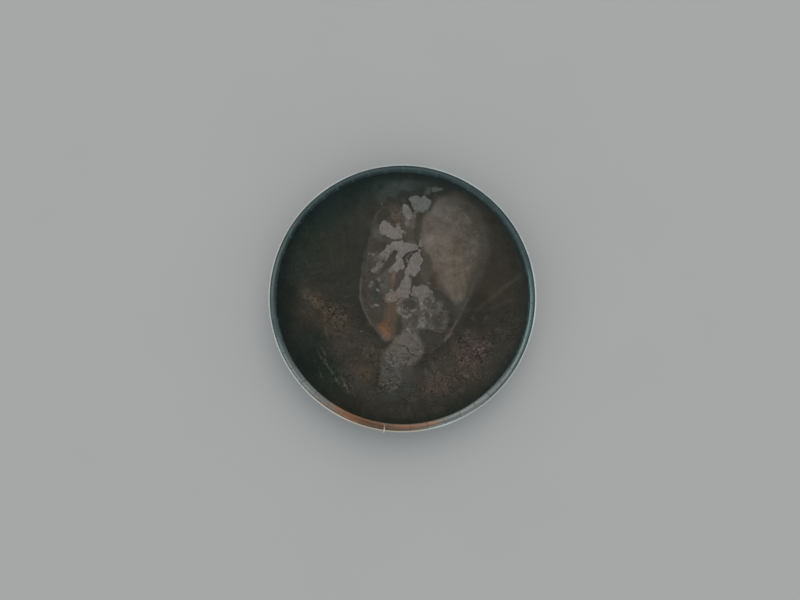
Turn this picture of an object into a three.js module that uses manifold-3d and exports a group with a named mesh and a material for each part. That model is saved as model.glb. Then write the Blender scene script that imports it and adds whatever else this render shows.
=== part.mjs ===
// Open-topped circular slurry tank, 38 m across and 5.6 m high: a wall of curved
// steel sheets in four lapped courses on a base angle, a flat-topped rim, one
// stiffening angle round the outside, a concrete floor inside the wall, and a
// fill pipe that rises outside, bends over the rim and ends part way down inside.
//
// Millimetres, +Z up. The origin is the centre of the floor slab's underside,
// which is the level ground that the tank stands on.

import * as THREE from 'three';
import Module from 'manifold-3d';
import { mergeVertices } from 'three/addons/utils/BufferGeometryUtils.js';

// ---------------------------------------------------------------- dimensions
const SHEETS = 47;              // sheets round one course
const SHEET_PITCH = 2550;       // seam to seam along the wall
const FIRST_SEAM_DEG = 5.5;     // azimuth of one seam, counter-clockwise from +X
const COURSES = 4;
const COURSE_HEIGHT = 1400;
const LAP = 60;                 // height that one course overlaps the next
const SHEET_T = 5;
const LAP_GAP = 0.5;            // mastic between lapped courses
const BUTT_GAP = 0.5;           // between the quadrants of one ring

const WALL_R = SHEETS * SHEET_PITCH / (2 * Math.PI);  // inner face of the inner courses
const OUTER_COURSE = SHEET_T + LAP_GAP;               // radial step of the outer courses
const WALL_HEIGHT = COURSES * COURSE_HEIGHT;

const SLAB_T = 200;
const SLAB_EDGE_GAP = 15;

const RIM = { inside: 10, width: 200, plate: 8, leg: 120, legT: 8, lip: 60, gap: 0.5 };
const BASE = { leg: 100, foot: 100, t: 10 };
const STIFF = { leg: 80, shelf: 80, t: 8 };

const PIPE = {
  r: 80, wall: 6, sides: 16,
  bendR: 240,                   // centre line radius of the bends
  outX: WALL_R + 320,           // riser axis
  topZ: 5640,                   // where the straight pipes meet the top bend
  inletZ: 600,                  // centre height of the inlet flange
  dropEndZ: 3100,
};
const PIPE_DEG = FIRST_SEAM_DEG + 33.5 * 360 / SHEETS;  // middle of a sheet
const FLANGE = { r: 142.5, t: 22, bolts: 8, boltR: 11, pcr: 120 };
const BRACKET = { plateW: 160, plateH: 200, plateT: 10, webT: 12, webH: 100, ringR: 92, holeR: 82.2, ringH: 60 };

// quadrants of each ring: first and last seam number
const QUADRANTS = {
  north_east: [0, 12],
  north_west: [12, 24],
  south_west: [24, 36],
  south_east: [36, 47],
};

// ----------------------------------------------------------------- materials
const paint = (color, roughness, metalness) => new THREE.MeshStandardMaterial({ color, roughness, metalness });
const COLOURS = {
  sheet: 0x53666a,
  rim: 0xa9aca6,
  angle: 0x8d9290,
  concrete: 0x8d8a82,
  pipe: 0xb9b6ab,
  bracket: 0x9a9c98,
};

// ------------------------------------------------------------- solid builders
const pitch = 2 * Math.PI / SHEETS;
const seamAngle = (n) => THREE.MathUtils.degToRad(FIRST_SEAM_DEG) + n * pitch;

// A closed sector of a ring: the section, a list of [r, z] corners, is carried
// from seam to seam in flat half sheets and closed with its own shape at each end.
function ringSector(section, firstSeam, lastSeam) {
  const shape = section.map(([r, z]) => new THREE.Vector2(r, z));
  if (THREE.ShapeUtils.isClockWise(shape)) shape.reverse();
  const inset = BUTT_GAP / 2 / WALL_R;
  const stations = [];
  for (let n = firstSeam; n <= lastSeam + 1e-9; n += 0.5) stations.push(seamAngle(n));
  stations[0] += inset;
  stations[stations.length - 1] -= inset;

  const position = [];
  for (const a of stations) {
    for (const p of shape) position.push(p.x * Math.cos(a), p.x * Math.sin(a), p.y);
  }
  const m = shape.length;
  const index = [];
  for (let i = 0; i + 1 < stations.length; i++) {
    for (let k = 0; k < m; k++) {
      const a = i * m + k;
      const b = i * m + (k + 1) % m;
      index.push(a, a + m, b + m, a, b + m, b);
    }
  }
  const last = (stations.length - 1) * m;
  for (const [a, b, c] of THREE.ShapeUtils.triangulateShape(shape, [])) {
    index.push(a, b, c, last + a, last + c, last + b);
  }
  const geometry = new THREE.BufferGeometry();
  geometry.setAttribute('position', new THREE.Float32BufferAttribute(position, 3));
  geometry.setIndex(index);
  geometry.computeVertexNormals();
  return geometry;
}

// Straight pipe along Z, as an extruded ring.
function pipeSection(r = PIPE.r, wall = PIPE.wall) {
  const s = new THREE.Shape();
  s.absarc(0, 0, r, 0, 2 * Math.PI, false);
  const hole = new THREE.Path();
  hole.absarc(0, 0, r - wall, 0, 2 * Math.PI, true);
  s.holes.push(hole);
  return s;
}

function straightPipe(z0, z1) {
  const g = new THREE.ExtrudeGeometry(pipeSection(), {
    depth: z1 - z0, bevelEnabled: false, curveSegments: PIPE.sides / 2, steps: 1,
  });
  g.translate(0, 0, z0);
  return g;
}

// Arc in the XZ plane from angle a0 to a1, with exact tangents.
class ArcXZ extends THREE.Curve {
  constructor(cx, cz, r, a0, a1) {
    super();
    Object.assign(this, { cx, cz, r, a0, a1 });
  }
  getPoint(t, target = new THREE.Vector3()) {
    const a = this.a0 + (this.a1 - this.a0) * t;
    return target.set(this.cx + this.r * Math.cos(a), 0, this.cz + this.r * Math.sin(a));
  }
  getTangent(t, target = new THREE.Vector3()) {
    const a = this.a0 + (this.a1 - this.a0) * t;
    const s = Math.sign(this.a1 - this.a0);
    return target.set(-s * Math.sin(a), 0, s * Math.cos(a));
  }
}

function bentPipe(cx, cz, a0, a1, steps) {
  return new THREE.ExtrudeGeometry(pipeSection(), {
    extrudePath: new ArcXZ(cx, cz, PIPE.bendR, a0, a1), steps, bevelEnabled: false, curveSegments: PIPE.sides / 2,
  });
}

// ------------------------------------------------------------ boolean helpers
const wasm = await Module();
wasm.setup();

function solidOf(geometry) {
  const g = geometry.clone();
  g.deleteAttribute('normal');
  g.deleteAttribute('uv');
  const m = mergeVertices(g, 1e-4);
  return new wasm.Manifold(new wasm.Mesh({
    numProp: 3,
    vertProperties: new Float32Array(m.attributes.position.array),
    triVerts: new Uint32Array(m.index.array),
  }));
}

function geometryOf(solid) {
  const mesh = solid.getMesh();
  const g = new THREE.BufferGeometry();
  g.setAttribute('position', new THREE.BufferAttribute(new Float32Array(mesh.vertProperties), 3));
  g.setIndex(new THREE.BufferAttribute(new Uint32Array(mesh.triVerts), 1));
  g.computeVertexNormals();
  return g;
}

const box = (x0, x1, y0, y1, z0, z1) => new THREE.BoxGeometry(x1 - x0, y1 - y0, z1 - z0)
  .translate((x0 + x1) / 2, (y0 + y1) / 2, (z0 + z1) / 2);

const rod = (r, x, y, z0, z1, sides = PIPE.sides) => new THREE.CylinderGeometry(r, r, z1 - z0, sides)
  .rotateX(Math.PI / 2).translate(x, y, (z0 + z1) / 2);

// ---------------------------------------------------------------- the object
const tank = new THREE.Group();

function add(group, name, geometry, color, roughness, metalness) {
  const mesh = new THREE.Mesh(geometry, paint(color, roughness, metalness));
  mesh.name = name;
  group.add(mesh);
  return mesh;
}

// floor, poured inside the wall on the same ground
const slab = new THREE.CylinderGeometry(WALL_R - SLAB_EDGE_GAP, WALL_R - SLAB_EDGE_GAP, SLAB_T, SHEETS * 2)
  .rotateX(Math.PI / 2).rotateZ(Math.PI / 2);
const slabMesh = add(tank, 'floor_slab', slab, COLOURS.concrete, 0.9, 0);
slabMesh.position.z = SLAB_T / 2;
slabMesh.rotation.z = THREE.MathUtils.degToRad(FIRST_SEAM_DEG);

// wall: odd courses inside, even courses lapped on their outside
for (let c = 1; c <= COURSES; c++) {
  const r0 = WALL_R + (c % 2 === 0 ? OUTER_COURSE : 0);
  const z0 = (c - 1) * COURSE_HEIGHT;
  const z1 = c === COURSES ? WALL_HEIGHT : c * COURSE_HEIGHT + LAP;
  const section = [[r0, z0], [r0 + SHEET_T, z0], [r0 + SHEET_T, z1], [r0, z1]];
  for (const [quadrant, [a, b]] of Object.entries(QUADRANTS)) {
    add(tank, `wall_course_${c}_${quadrant}`, ringSector(section, a, b), COLOURS.sheet, 0.55, 0.2);
  }
}

// rim: a plate over the sheets' top edge, a leg bolted to the outer face of the
// top course, and a turned-down lip
const topOuter = WALL_R + OUTER_COURSE + SHEET_T + LAP_GAP;
const rimZ = WALL_HEIGHT + RIM.gap;
const rimSection = [
  [WALL_R - RIM.inside, rimZ],
  [topOuter, rimZ],
  [topOuter, WALL_HEIGHT - RIM.leg],
  [topOuter + RIM.legT, WALL_HEIGHT - RIM.leg],
  [topOuter + RIM.legT, rimZ],
  [WALL_R + RIM.width - RIM.plate, rimZ],
  [WALL_R + RIM.width - RIM.plate, rimZ - RIM.lip],
  [WALL_R + RIM.width, rimZ - RIM.lip],
  [WALL_R + RIM.width, rimZ + RIM.plate],
  [WALL_R - RIM.inside, rimZ + RIM.plate],
];

// stiffening angle, bolted through the lap of courses 2 and 3, shelf upward
const stiffTop = 2 * COURSE_HEIGHT + LAP + 10;
const stiffSection = [
  [topOuter, stiffTop - STIFF.leg],
  [topOuter + STIFF.t, stiffTop - STIFF.leg],
  [topOuter + STIFF.t, stiffTop - STIFF.t],
  [topOuter + STIFF.shelf, stiffTop - STIFF.t],
  [topOuter + STIFF.shelf, stiffTop],
  [topOuter, stiffTop],
];

// base angle round the foot of course 1
const footIn = WALL_R + SHEET_T + LAP_GAP;
const baseSection = [
  [footIn, 0],
  [footIn + BASE.foot, 0],
  [footIn + BASE.foot, BASE.t],
  [footIn + BASE.t, BASE.t],
  [footIn + BASE.t, BASE.leg],
  [footIn, BASE.leg],
];

for (const [quadrant, [a, b]] of Object.entries(QUADRANTS)) {
  add(tank, `top_rim_${quadrant}`, ringSector(rimSection, a, b), COLOURS.rim, 0.5, 0.4);
  add(tank, `wind_stiffener_${quadrant}`, ringSector(stiffSection, a, b), COLOURS.angle, 0.55, 0.4);
  add(tank, `base_angle_${quadrant}`, ringSector(baseSection, a, b), COLOURS.angle, 0.55, 0.4);
}

// fill pipe: local +X points outward through the middle of a sheet
const pipe = new THREE.Group();
pipe.rotation.z = THREE.MathUtils.degToRad(PIPE_DEG);
tank.add(pipe);

const inX = PIPE.outX - 2 * PIPE.bendR;
const JOINT = 0.3;
const elbowZ = PIPE.inletZ + PIPE.bendR;

const riser = add(pipe, 'fill_pipe_riser', straightPipe(elbowZ + JOINT, PIPE.topZ - JOINT), COLOURS.pipe, 0.5, 0.3);
riser.position.x = PIPE.outX;
add(pipe, 'fill_pipe_top_bend', bentPipe((PIPE.outX + inX) / 2, PIPE.topZ, 0, Math.PI, 12), COLOURS.pipe, 0.5, 0.3);
const drop = add(pipe, 'fill_pipe_drop', straightPipe(PIPE.dropEndZ, PIPE.topZ - JOINT), COLOURS.pipe, 0.5, 0.3);
drop.position.x = inX;
add(pipe, 'fill_pipe_inlet_elbow',
  bentPipe(PIPE.outX + PIPE.bendR, elbowZ, Math.PI, 1.5 * Math.PI, 6), COLOURS.pipe, 0.5, 0.3);

const flangeShape = new THREE.Shape();
flangeShape.absarc(0, 0, FLANGE.r, 0, 2 * Math.PI, false);
const flangeBore = new THREE.Path();
flangeBore.absarc(0, 0, PIPE.r - PIPE.wall, 0, 2 * Math.PI, true);
flangeShape.holes.push(flangeBore);
const flange = add(pipe, 'fill_pipe_inlet_flange', new THREE.ExtrudeGeometry(flangeShape, {
  depth: FLANGE.t, bevelEnabled: false, curveSegments: PIPE.sides / 2,
}), COLOURS.bracket, 0.5, 0.4);
flange.rotation.y = Math.PI / 2;
flange.position.set(PIPE.outX + PIPE.bendR + JOINT, 0, PIPE.inletZ);

// pipe brackets: a plate bolted to the sheet, a web, and a collar round the pipe
function bracket(plateX, dir, pipeX, z) {
  const B = BRACKET;
  const plateFar = plateX + dir * B.plateT;
  const webEnd = pipeX - dir * (B.ringR + B.holeR) / 2;
  const plate = solidOf(box(Math.min(plateX, plateFar), Math.max(plateX, plateFar),
    -B.plateW / 2, B.plateW / 2, z - B.plateH / 2, z + B.plateH / 2));
  const webStart = plateX + dir * B.plateT / 2;
  const web = solidOf(box(Math.min(webStart, webEnd), Math.max(webStart, webEnd),
    -B.webT / 2, B.webT / 2, z - B.webH / 2, z + B.webH / 2));
  const collar = solidOf(rod(B.ringR, pipeX, 0, z - B.ringH / 2, z + B.ringH / 2));
  const hole = solidOf(rod(B.holeR, pipeX, 0, z - B.webH, z + B.webH));
  return geometryOf(plate.add(web).add(collar).subtract(hole));
}

const outerFace = WALL_R + OUTER_COURSE + SHEET_T + LAP_GAP;   // courses 2 and 4
add(pipe, 'fill_pipe_bracket_lower', bracket(outerFace, 1, PIPE.outX, 2000), COLOURS.bracket, 0.5, 0.4);
add(pipe, 'fill_pipe_bracket_upper', bracket(outerFace, 1, PIPE.outX, 4700), COLOURS.bracket, 0.5, 0.4);
add(pipe, 'fill_pipe_bracket_inside', bracket(WALL_R + 2, -1, inX, 4700), COLOURS.bracket, 0.5, 0.4);

export default tank;
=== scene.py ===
"""Looks of the open-topped slurry tank: bolted steel sheets in four lapped courses,
a flat rim, stiffening and base angles, a fill pipe over the rim, and the slurry
with its floating crust. Metres, +Z up, the origin on the ground at the centre."""

import math

import bmesh
import bpy
import numpy as np
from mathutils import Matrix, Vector


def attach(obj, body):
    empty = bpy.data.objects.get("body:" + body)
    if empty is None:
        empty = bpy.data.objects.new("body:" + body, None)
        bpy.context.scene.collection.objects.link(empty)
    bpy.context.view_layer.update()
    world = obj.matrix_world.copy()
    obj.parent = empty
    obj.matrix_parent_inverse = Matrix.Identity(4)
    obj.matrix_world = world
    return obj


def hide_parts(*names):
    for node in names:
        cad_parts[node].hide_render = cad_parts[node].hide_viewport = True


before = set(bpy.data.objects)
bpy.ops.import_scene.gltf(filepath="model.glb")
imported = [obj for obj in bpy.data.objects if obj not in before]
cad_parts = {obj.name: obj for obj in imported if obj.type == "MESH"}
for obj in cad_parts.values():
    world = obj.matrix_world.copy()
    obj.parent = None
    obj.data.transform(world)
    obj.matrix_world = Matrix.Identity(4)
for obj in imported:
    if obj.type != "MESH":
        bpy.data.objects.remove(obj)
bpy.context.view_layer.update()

# ------------------------------------------------------------------ dimensions
SHEETS = 47
PITCH = 2 * math.pi / SHEETS
SEAM0 = math.radians(5.5)
R_CAD = SHEETS * 2.55 / (2 * math.pi)      # the solids' corners, at every seam and mid-sheet
R = R_CAD * math.cos(PITCH / 4)            # the true circle that lies inside them
SHEET_T, STEP = 0.005, 0.0055
COURSE, LAP, TOP = 1.4, 0.06, 5.6
SLURRY_Z = 0.74
QUADRANTS = {"north_east": (0, 12), "north_west": (12, 24), "south_west": (24, 36), "south_east": (36, 47)}
PIPE_AZ = SEAM0 + 33.5 * PITCH
PIPE_OUT, PIPE_BEND, PIPE_R, PIPE_WALL = R_CAD + 0.32, 0.24, 0.08, 0.006
PIPE_IN = PIPE_OUT - 2 * PIPE_BEND
PIPE_TOP, PIPE_INLET, PIPE_END = 5.64, 0.6, 3.1


def seam(n):
    return SEAM0 + n * PITCH


def outer_course(c):
    return c % 2 == 0


def face_in(c):
    return R + (STEP if outer_course(c) else 0)


def face_out(c):
    return face_in(c) + SHEET_T


# ------------------------------------------------------------------ mesh building
class Build:
    """Collects vertices, polygons and per-vertex values, then makes one object."""

    def __init__(self):
        self.v, self.polys, self.values, self.n = [], {}, [], 0

    def add(self, verts, *polys, **values):
        verts = np.asarray(verts, float).reshape(-1, 3)
        for p in polys:
            p = np.asarray(p, np.int64)
            if len(p):
                self.polys.setdefault(p.shape[1], []).append(p + self.n)
        self.v.append(verts)
        self.values.append((len(verts), values))
        self.n += len(verts)

    def object(self, name, material, slot, smooth=True, replaces=()):
        verts = np.concatenate(self.v)
        mesh = bpy.data.meshes.new(name)
        mesh.vertices.add(len(verts))
        mesh.vertices.foreach_set("co", verts.astype(np.float32).ravel())
        loops, starts, at = [], [], 0
        for k in sorted(self.polys):
            p = np.concatenate(self.polys[k])
            loops.append(p.ravel())
            starts.append(at + k * np.arange(len(p)))
            at += p.size
        loops = np.concatenate(loops).astype(np.int32)
        starts = np.concatenate(starts).astype(np.int32)
        mesh.loops.add(len(loops))
        mesh.loops.foreach_set("vertex_index", loops)
        mesh.polygons.add(len(starts))
        mesh.polygons.foreach_set("loop_start", starts)
        names = sorted({k for _, d in self.values for k in d})
        mesh.update(calc_edges=True)
        for key in names:
            data = np.concatenate([np.broadcast_to(np.asarray(d.get(key, 0.0), np.float32), (n,)) for n, d in self.values])
            mesh.attributes.new(key, "FLOAT", "POINT").data.foreach_set("value", data)
        mesh.polygons.foreach_set("use_smooth", np.full(len(starts), smooth))
        mesh.validate()
        mesh.update()
        obj = bpy.data.objects.new(name, mesh)
        bpy.context.scene.collection.objects.link(obj)
        mesh.materials.append(material)
        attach(obj, "root")
        if replaces:
            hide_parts(*replaces)
        return obj


def sweep(m, strips, angles, cap=True, **values):
    """Carries a section, given counter-clockwise as strips of (r, z), round the tank."""
    c, s = np.cos(angles), np.sin(angles)
    n = len(angles)
    arc = (angles - SEAM0) * SHEETS * 2.55 / (2 * math.pi)
    for strip in strips:
        inside = 0.0
        if isinstance(strip, tuple):
            strip, inside = strip
        p = np.asarray(strip, float)
        k = len(p)
        v = np.empty((n, k, 3))
        v[..., 0], v[..., 1], v[..., 2] = c[:, None] * p[:, 0], s[:, None] * p[:, 0], p[:, 1]
        i = np.arange(n * k).reshape(n, k)
        q = np.stack([i[:-1, :-1], i[1:, :-1], i[1:, 1:], i[:-1, 1:]], -1).reshape(-1, 4)
        m.add(v, q, inside=inside, arc=np.repeat(arc, k), **values)
    if cap:
        outline = []
        for strip in strips:
            pts = strip[0] if isinstance(strip, tuple) else strip
            outline += [tuple(pts[0])] + [tuple(x) for x in pts[1:-1]] if len(pts) <= 8 else [tuple(pts[0])]
        p = np.array(outline)
        for end, order in ((0, 1), (-1, -1)):
            v = np.stack([c[end] * p[:, 0], s[end] * p[:, 0], p[:, 1]], -1)
            m.add(v, [list(range(len(p)))[::order]], arc=arc[end], **values)


def place(m, tv, polys, theta, z, r, inward=False, spin=None, **values):
    """Copies a template, whose axis is +X, to many places on the wall."""
    theta, z, r = (np.broadcast_to(np.asarray(a, float), np.shape(theta)) for a in (theta, z, r))
    n, k = len(theta), len(tv)
    x = np.broadcast_to(tv[:, 0], (n, k))
    y = np.broadcast_to(tv[:, 1], (n, k))
    w = np.broadcast_to(tv[:, 2], (n, k))
    if spin is not None:
        cs, sn = np.cos(spin)[:, None], np.sin(spin)[:, None]
        y, w = y * cs - w * sn, y * sn + w * cs
    if inward:
        x = -x
    c, s = np.cos(theta)[:, None], np.sin(theta)[:, None]
    rad = r[:, None] + x
    v = np.stack([rad * c - y * s, rad * s + y * c, z[:, None] + w], -1).reshape(-1, 3)
    off = (np.arange(n) * k)[:, None, None]
    out = []
    for p in polys:
        p = np.asarray(p)
        if inward:
            p = p[:, ::-1]
        out.append((p[None] + off).reshape(-1, p.shape[1]))
    m.add(v, *out, **{a: np.repeat(np.broadcast_to(b, (n,)), k) for a, b in values.items()})


def prism(sides, r, h, r_top=None, rings=None):
    """A prism or dome along +X, open at its foot: rings are (x, radius) and the last is closed."""
    rings = rings or [(0, r), (h, r if r_top is None else r_top)]
    a = np.arange(sides) * 2 * math.pi / sides
    v = np.concatenate([np.stack([np.full(sides, x), q * np.cos(a), q * np.sin(a)], -1) for x, q in rings])
    quads = []
    for k in range(len(rings) - 1):
        for j in range(sides):
            b = (j + 1) % sides
            quads.append([k * sides + j, k * sides + b, (k + 1) * sides + b, (k + 1) * sides + j])
    last = (len(rings) - 1) * sides
    return v, [np.array(quads), np.array([[last + j for j in range(sides)]])]


def block(m, theta, r0, r1, y0, y1, z0, z1, chamfer=0.0015, **values):
    """A plate in the wall's local frame: r outward, y along the wall, z up, with broken edges."""
    lo, hi = np.array([r0, y0, z0], float), np.array([r1, y1, z1], float)
    ch = min(chamfer, (hi - lo).min() * 0.3)
    v, index = [], {}
    for axis in range(3):
        for side in (0, 1):
            for a in (0, 1):
                for b in (0, 1):
                    p = np.zeros(3)
                    others = [k for k in range(3) if k != axis]
                    p[axis] = hi[axis] if side else lo[axis]
                    for k, bit in zip(others, (a, b)):
                        p[k] = hi[k] - ch if bit else lo[k] + ch
                    corner = [0, 0, 0]
                    corner[axis] = side
                    corner[others[0]], corner[others[1]] = a, b
                    index[(axis, tuple(corner))] = len(v)
                    v.append(p)
    quads, tris = [], []
    mid = (lo + hi) / 2

    def push(ids, bucket):
        pts = np.array([v[i] for i in ids])
        nrm = np.cross(pts[1] - pts[0], pts[2] - pts[0])
        if np.dot(nrm, pts.mean(0) - mid) < 0:
            ids = ids[::-1]
        bucket.append(ids)

    for axis in range(3):
        o = [k for k in range(3) if k != axis]
        for side in (0, 1):
            ids = []
            for a, b in ((0, 0), (1, 0), (1, 1), (0, 1)):
                corner = [0, 0, 0]
                corner[axis], corner[o[0]], corner[o[1]] = side, a, b
                ids.append(index[(axis, tuple(corner))])
            push(ids, quads)
    for axis in range(3):      # the edges that run along this axis
        o = [k for k in range(3) if k != axis]
        for a in (0, 1):
            for b in (0, 1):
                c0, c1 = [0, 0, 0], [0, 0, 0]
                c0[axis], c1[axis] = 0, 1
                for c in (c0, c1):
                    c[o[0]], c[o[1]] = a, b
                push([index[(o[0], tuple(c0))], index[(o[0], tuple(c1))], index[(o[1], tuple(c1))], index[(o[1], tuple(c0))]], quads)
    for a in (0, 1):
        for b in (0, 1):
            for c in (0, 1):
                push([index[(k, (a, b, c))] for k in range(3)], tris)
    v = np.array(v)
    c, s = math.cos(theta), math.sin(theta)
    w = np.stack([v[:, 0] * c - v[:, 1] * s, v[:, 0] * s + v[:, 1] * c, v[:, 2]], -1)
    m.add(w, quads, tris, **values)


# ------------------------------------------------------------------ noise and drawing
def value_noise(x, y, seed):
    g = np.random.default_rng(seed).random((128, 128))
    xi, yi = np.floor(x).astype(int), np.floor(y).astype(int)
    fx, fy = x - xi, y - yi
    u, w = fx * fx * (3 - 2 * fx), fy * fy * (3 - 2 * fy)
    a, b = g[xi % 128, yi % 128], g[(xi + 1) % 128, yi % 128]
    c, d = g[xi % 128, (yi + 1) % 128], g[(xi + 1) % 128, (yi + 1) % 128]
    return (a * (1 - u) + b * u) * (1 - w) + (c * (1 - u) + d * u) * w


def fbm(x, y, seed, octaves=4, gain=0.55):
    total, amp, norm = 0, 1.0, 0
    for k in range(octaves):
        total = total + amp * value_noise(x * 2 ** k + 17.3 * k, y * 2 ** k - 9.1 * k, seed + k)
        norm += amp
        amp *= gain
    return total / norm


def smooth(a, b, x):
    t = np.clip((x - a) / (b - a), 0, 1)
    return t * t * (3 - 2 * t)


def bell(x, centre, width):
    """1 at the centre, for an azimuth in degrees."""
    d = (x - centre + 180) % 360 - 180
    return np.exp(-(d / width) ** 2)


# ------------------------------------------------------------------ materials
class Shader:
    """A node material; sockets or plain numbers go in, sockets come out."""

    def __init__(self, name):
        self.mat = bpy.data.materials.new(name)
        self.mat.use_nodes = True
        self.tree = self.mat.node_tree
        self.tree.nodes.clear()
        out = self.tree.nodes.new("ShaderNodeOutputMaterial")
        self.bsdf = self.tree.nodes.new("ShaderNodeBsdfPrincipled")
        self.tree.links.new(self.bsdf.outputs[0], out.inputs["Surface"])
        self.coords = self.tree.nodes.new("ShaderNodeTexCoord").outputs["Object"]

    def put(self, socket, value):
        if isinstance(value, bpy.types.NodeSocket):
            self.tree.links.new(value, socket)
        elif isinstance(value, (tuple, list)):
            socket.default_value = tuple(value) if len(value) == len(socket.default_value) else (*value, 1.0)
        else:
            socket.default_value = value

    def math(self, op, a, b=0.0, c=0.0, clamp=False):
        n = self.tree.nodes.new("ShaderNodeMath")
        n.operation, n.use_clamp = op, clamp
        for i, v in enumerate((a, b, c)):
            self.put(n.inputs[i], v)
        return n.outputs[0]

    def add(self, a, b, clamp=False):
        return self.math("ADD", a, b, clamp=clamp)

    def mul(self, a, b, clamp=False):
        return self.math("MULTIPLY", a, b, clamp=clamp)

    def span(self, v, a0, a1, b0=0.0, b1=1.0, kind="SMOOTHSTEP"):
        n = self.tree.nodes.new("ShaderNodeMapRange")
        n.interpolation_type = kind
        self.put(n.inputs["Value"], v)
        for key, x in (("From Min", a0), ("From Max", a1), ("To Min", b0), ("To Max", b1)):
            self.put(n.inputs[key], x)
        return n.outputs["Result"]

    def mix(self, fac, a, b, kind="MIX"):
        n = self.tree.nodes.new("ShaderNodeMix")
        n.data_type, n.blend_type = "RGBA", kind
        self.put(n.inputs[0], fac)
        self.put(n.inputs[6], a)
        self.put(n.inputs[7], b)
        return n.outputs[2]

    def ramp(self, fac, stops):
        n = self.tree.nodes.new("ShaderNodeValToRGB")
        e = n.color_ramp.elements
        while len(e) < len(stops):
            e.new(0.5)
        for el, (pos, col) in zip(e, stops):
            el.position, el.color = pos, (*col, 1.0)
        self.put(n.inputs[0], fac)
        return n.outputs[0]

    def noise(self, scale, detail=3.0, rough=0.5, distort=0.0, vec=None, stretch=None):
        v = vec if vec is not None else self.coords
        if stretch:
            mp = self.tree.nodes.new("ShaderNodeMapping")
            self.put(mp.inputs["Vector"], v)
            mp.inputs["Scale"].default_value = stretch
            v = mp.outputs[0]
        n = self.tree.nodes.new("ShaderNodeTexNoise")
        self.put(n.inputs["Vector"], v)
        n.inputs["Scale"].default_value = scale
        n.inputs["Detail"].default_value = detail
        n.inputs["Roughness"].default_value = rough
        n.inputs["Distortion"].default_value = distort
        return n.outputs[0]

    def cells(self, scale, feature="DISTANCE_TO_EDGE", vec=None):
        n = self.tree.nodes.new("ShaderNodeTexVoronoi")
        n.feature = feature
        self.put(n.inputs["Vector"], vec if vec is not None else self.coords)
        n.inputs["Scale"].default_value = scale
        return n.outputs[0]

    def value(self, name):
        n = self.tree.nodes.new("ShaderNodeAttribute")
        n.attribute_name = name
        return n.outputs["Fac"]

    def xyz(self, vec=None):
        n = self.tree.nodes.new("ShaderNodeSeparateXYZ")
        self.put(n.inputs[0], vec if vec is not None else self.coords)
        return n.outputs

    def combine(self, x, y, z):
        n = self.tree.nodes.new("ShaderNodeCombineXYZ")
        for i, v in enumerate((x, y, z)):
            self.put(n.inputs[i], v)
        return n.outputs[0]

    def bump(self, height, strength, distance):
        n = self.tree.nodes.new("ShaderNodeBump")
        n.inputs["Strength"].default_value = strength
        n.inputs["Distance"].default_value = distance
        self.put(n.inputs["Height"], height)
        return n.outputs[0]

    def grey(self, v):
        n = self.tree.nodes.new("ShaderNodeCombineColor")
        for i in range(3):
            self.put(n.inputs[i], v)
        return n.outputs[0]

    def finish(self, colour, rough, metallic=0.0, specular=0.5, normal=None):
        b = self.bsdf.inputs
        self.put(b["Base Color"], colour)
        self.put(b["Roughness"], rough)
        self.put(b["Metallic"], metallic)
        b["Specular IOR Level"].default_value = specular
        if normal is not None:
            self.put(b["Normal"], normal)
        return self.mat


# hues from wet teal-black through olive and tan to rust, as multipliers on a grey
HUES = [(0.0, (0.55, 1.08, 1.13)), (0.25, (0.90, 1.03, 0.99)), (0.40, (1.0, 1.0, 0.97)), (0.55, (1.07, 1.0, 0.84)),
        (0.70, (1.16, 0.97, 0.83)), (0.85, (1.36, 0.92, 0.70)), (1.0, (1.74, 0.84, 0.46))]


# the slurry's own: the scum is greyer and pinker than the wall's stains
SLURRY_HUES = [(0.0, (0.50, 1.08, 1.02)), (0.25, (0.88, 1.03, 1.02)), (0.40, (1.00, 1.0, 1.0)), (0.55, (1.08, 0.99, 0.98)),
               (0.70, (1.19, 0.96, 0.89)), (0.85, (1.38, 0.92, 0.80)), (1.0, (1.74, 0.85, 0.45))]


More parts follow.
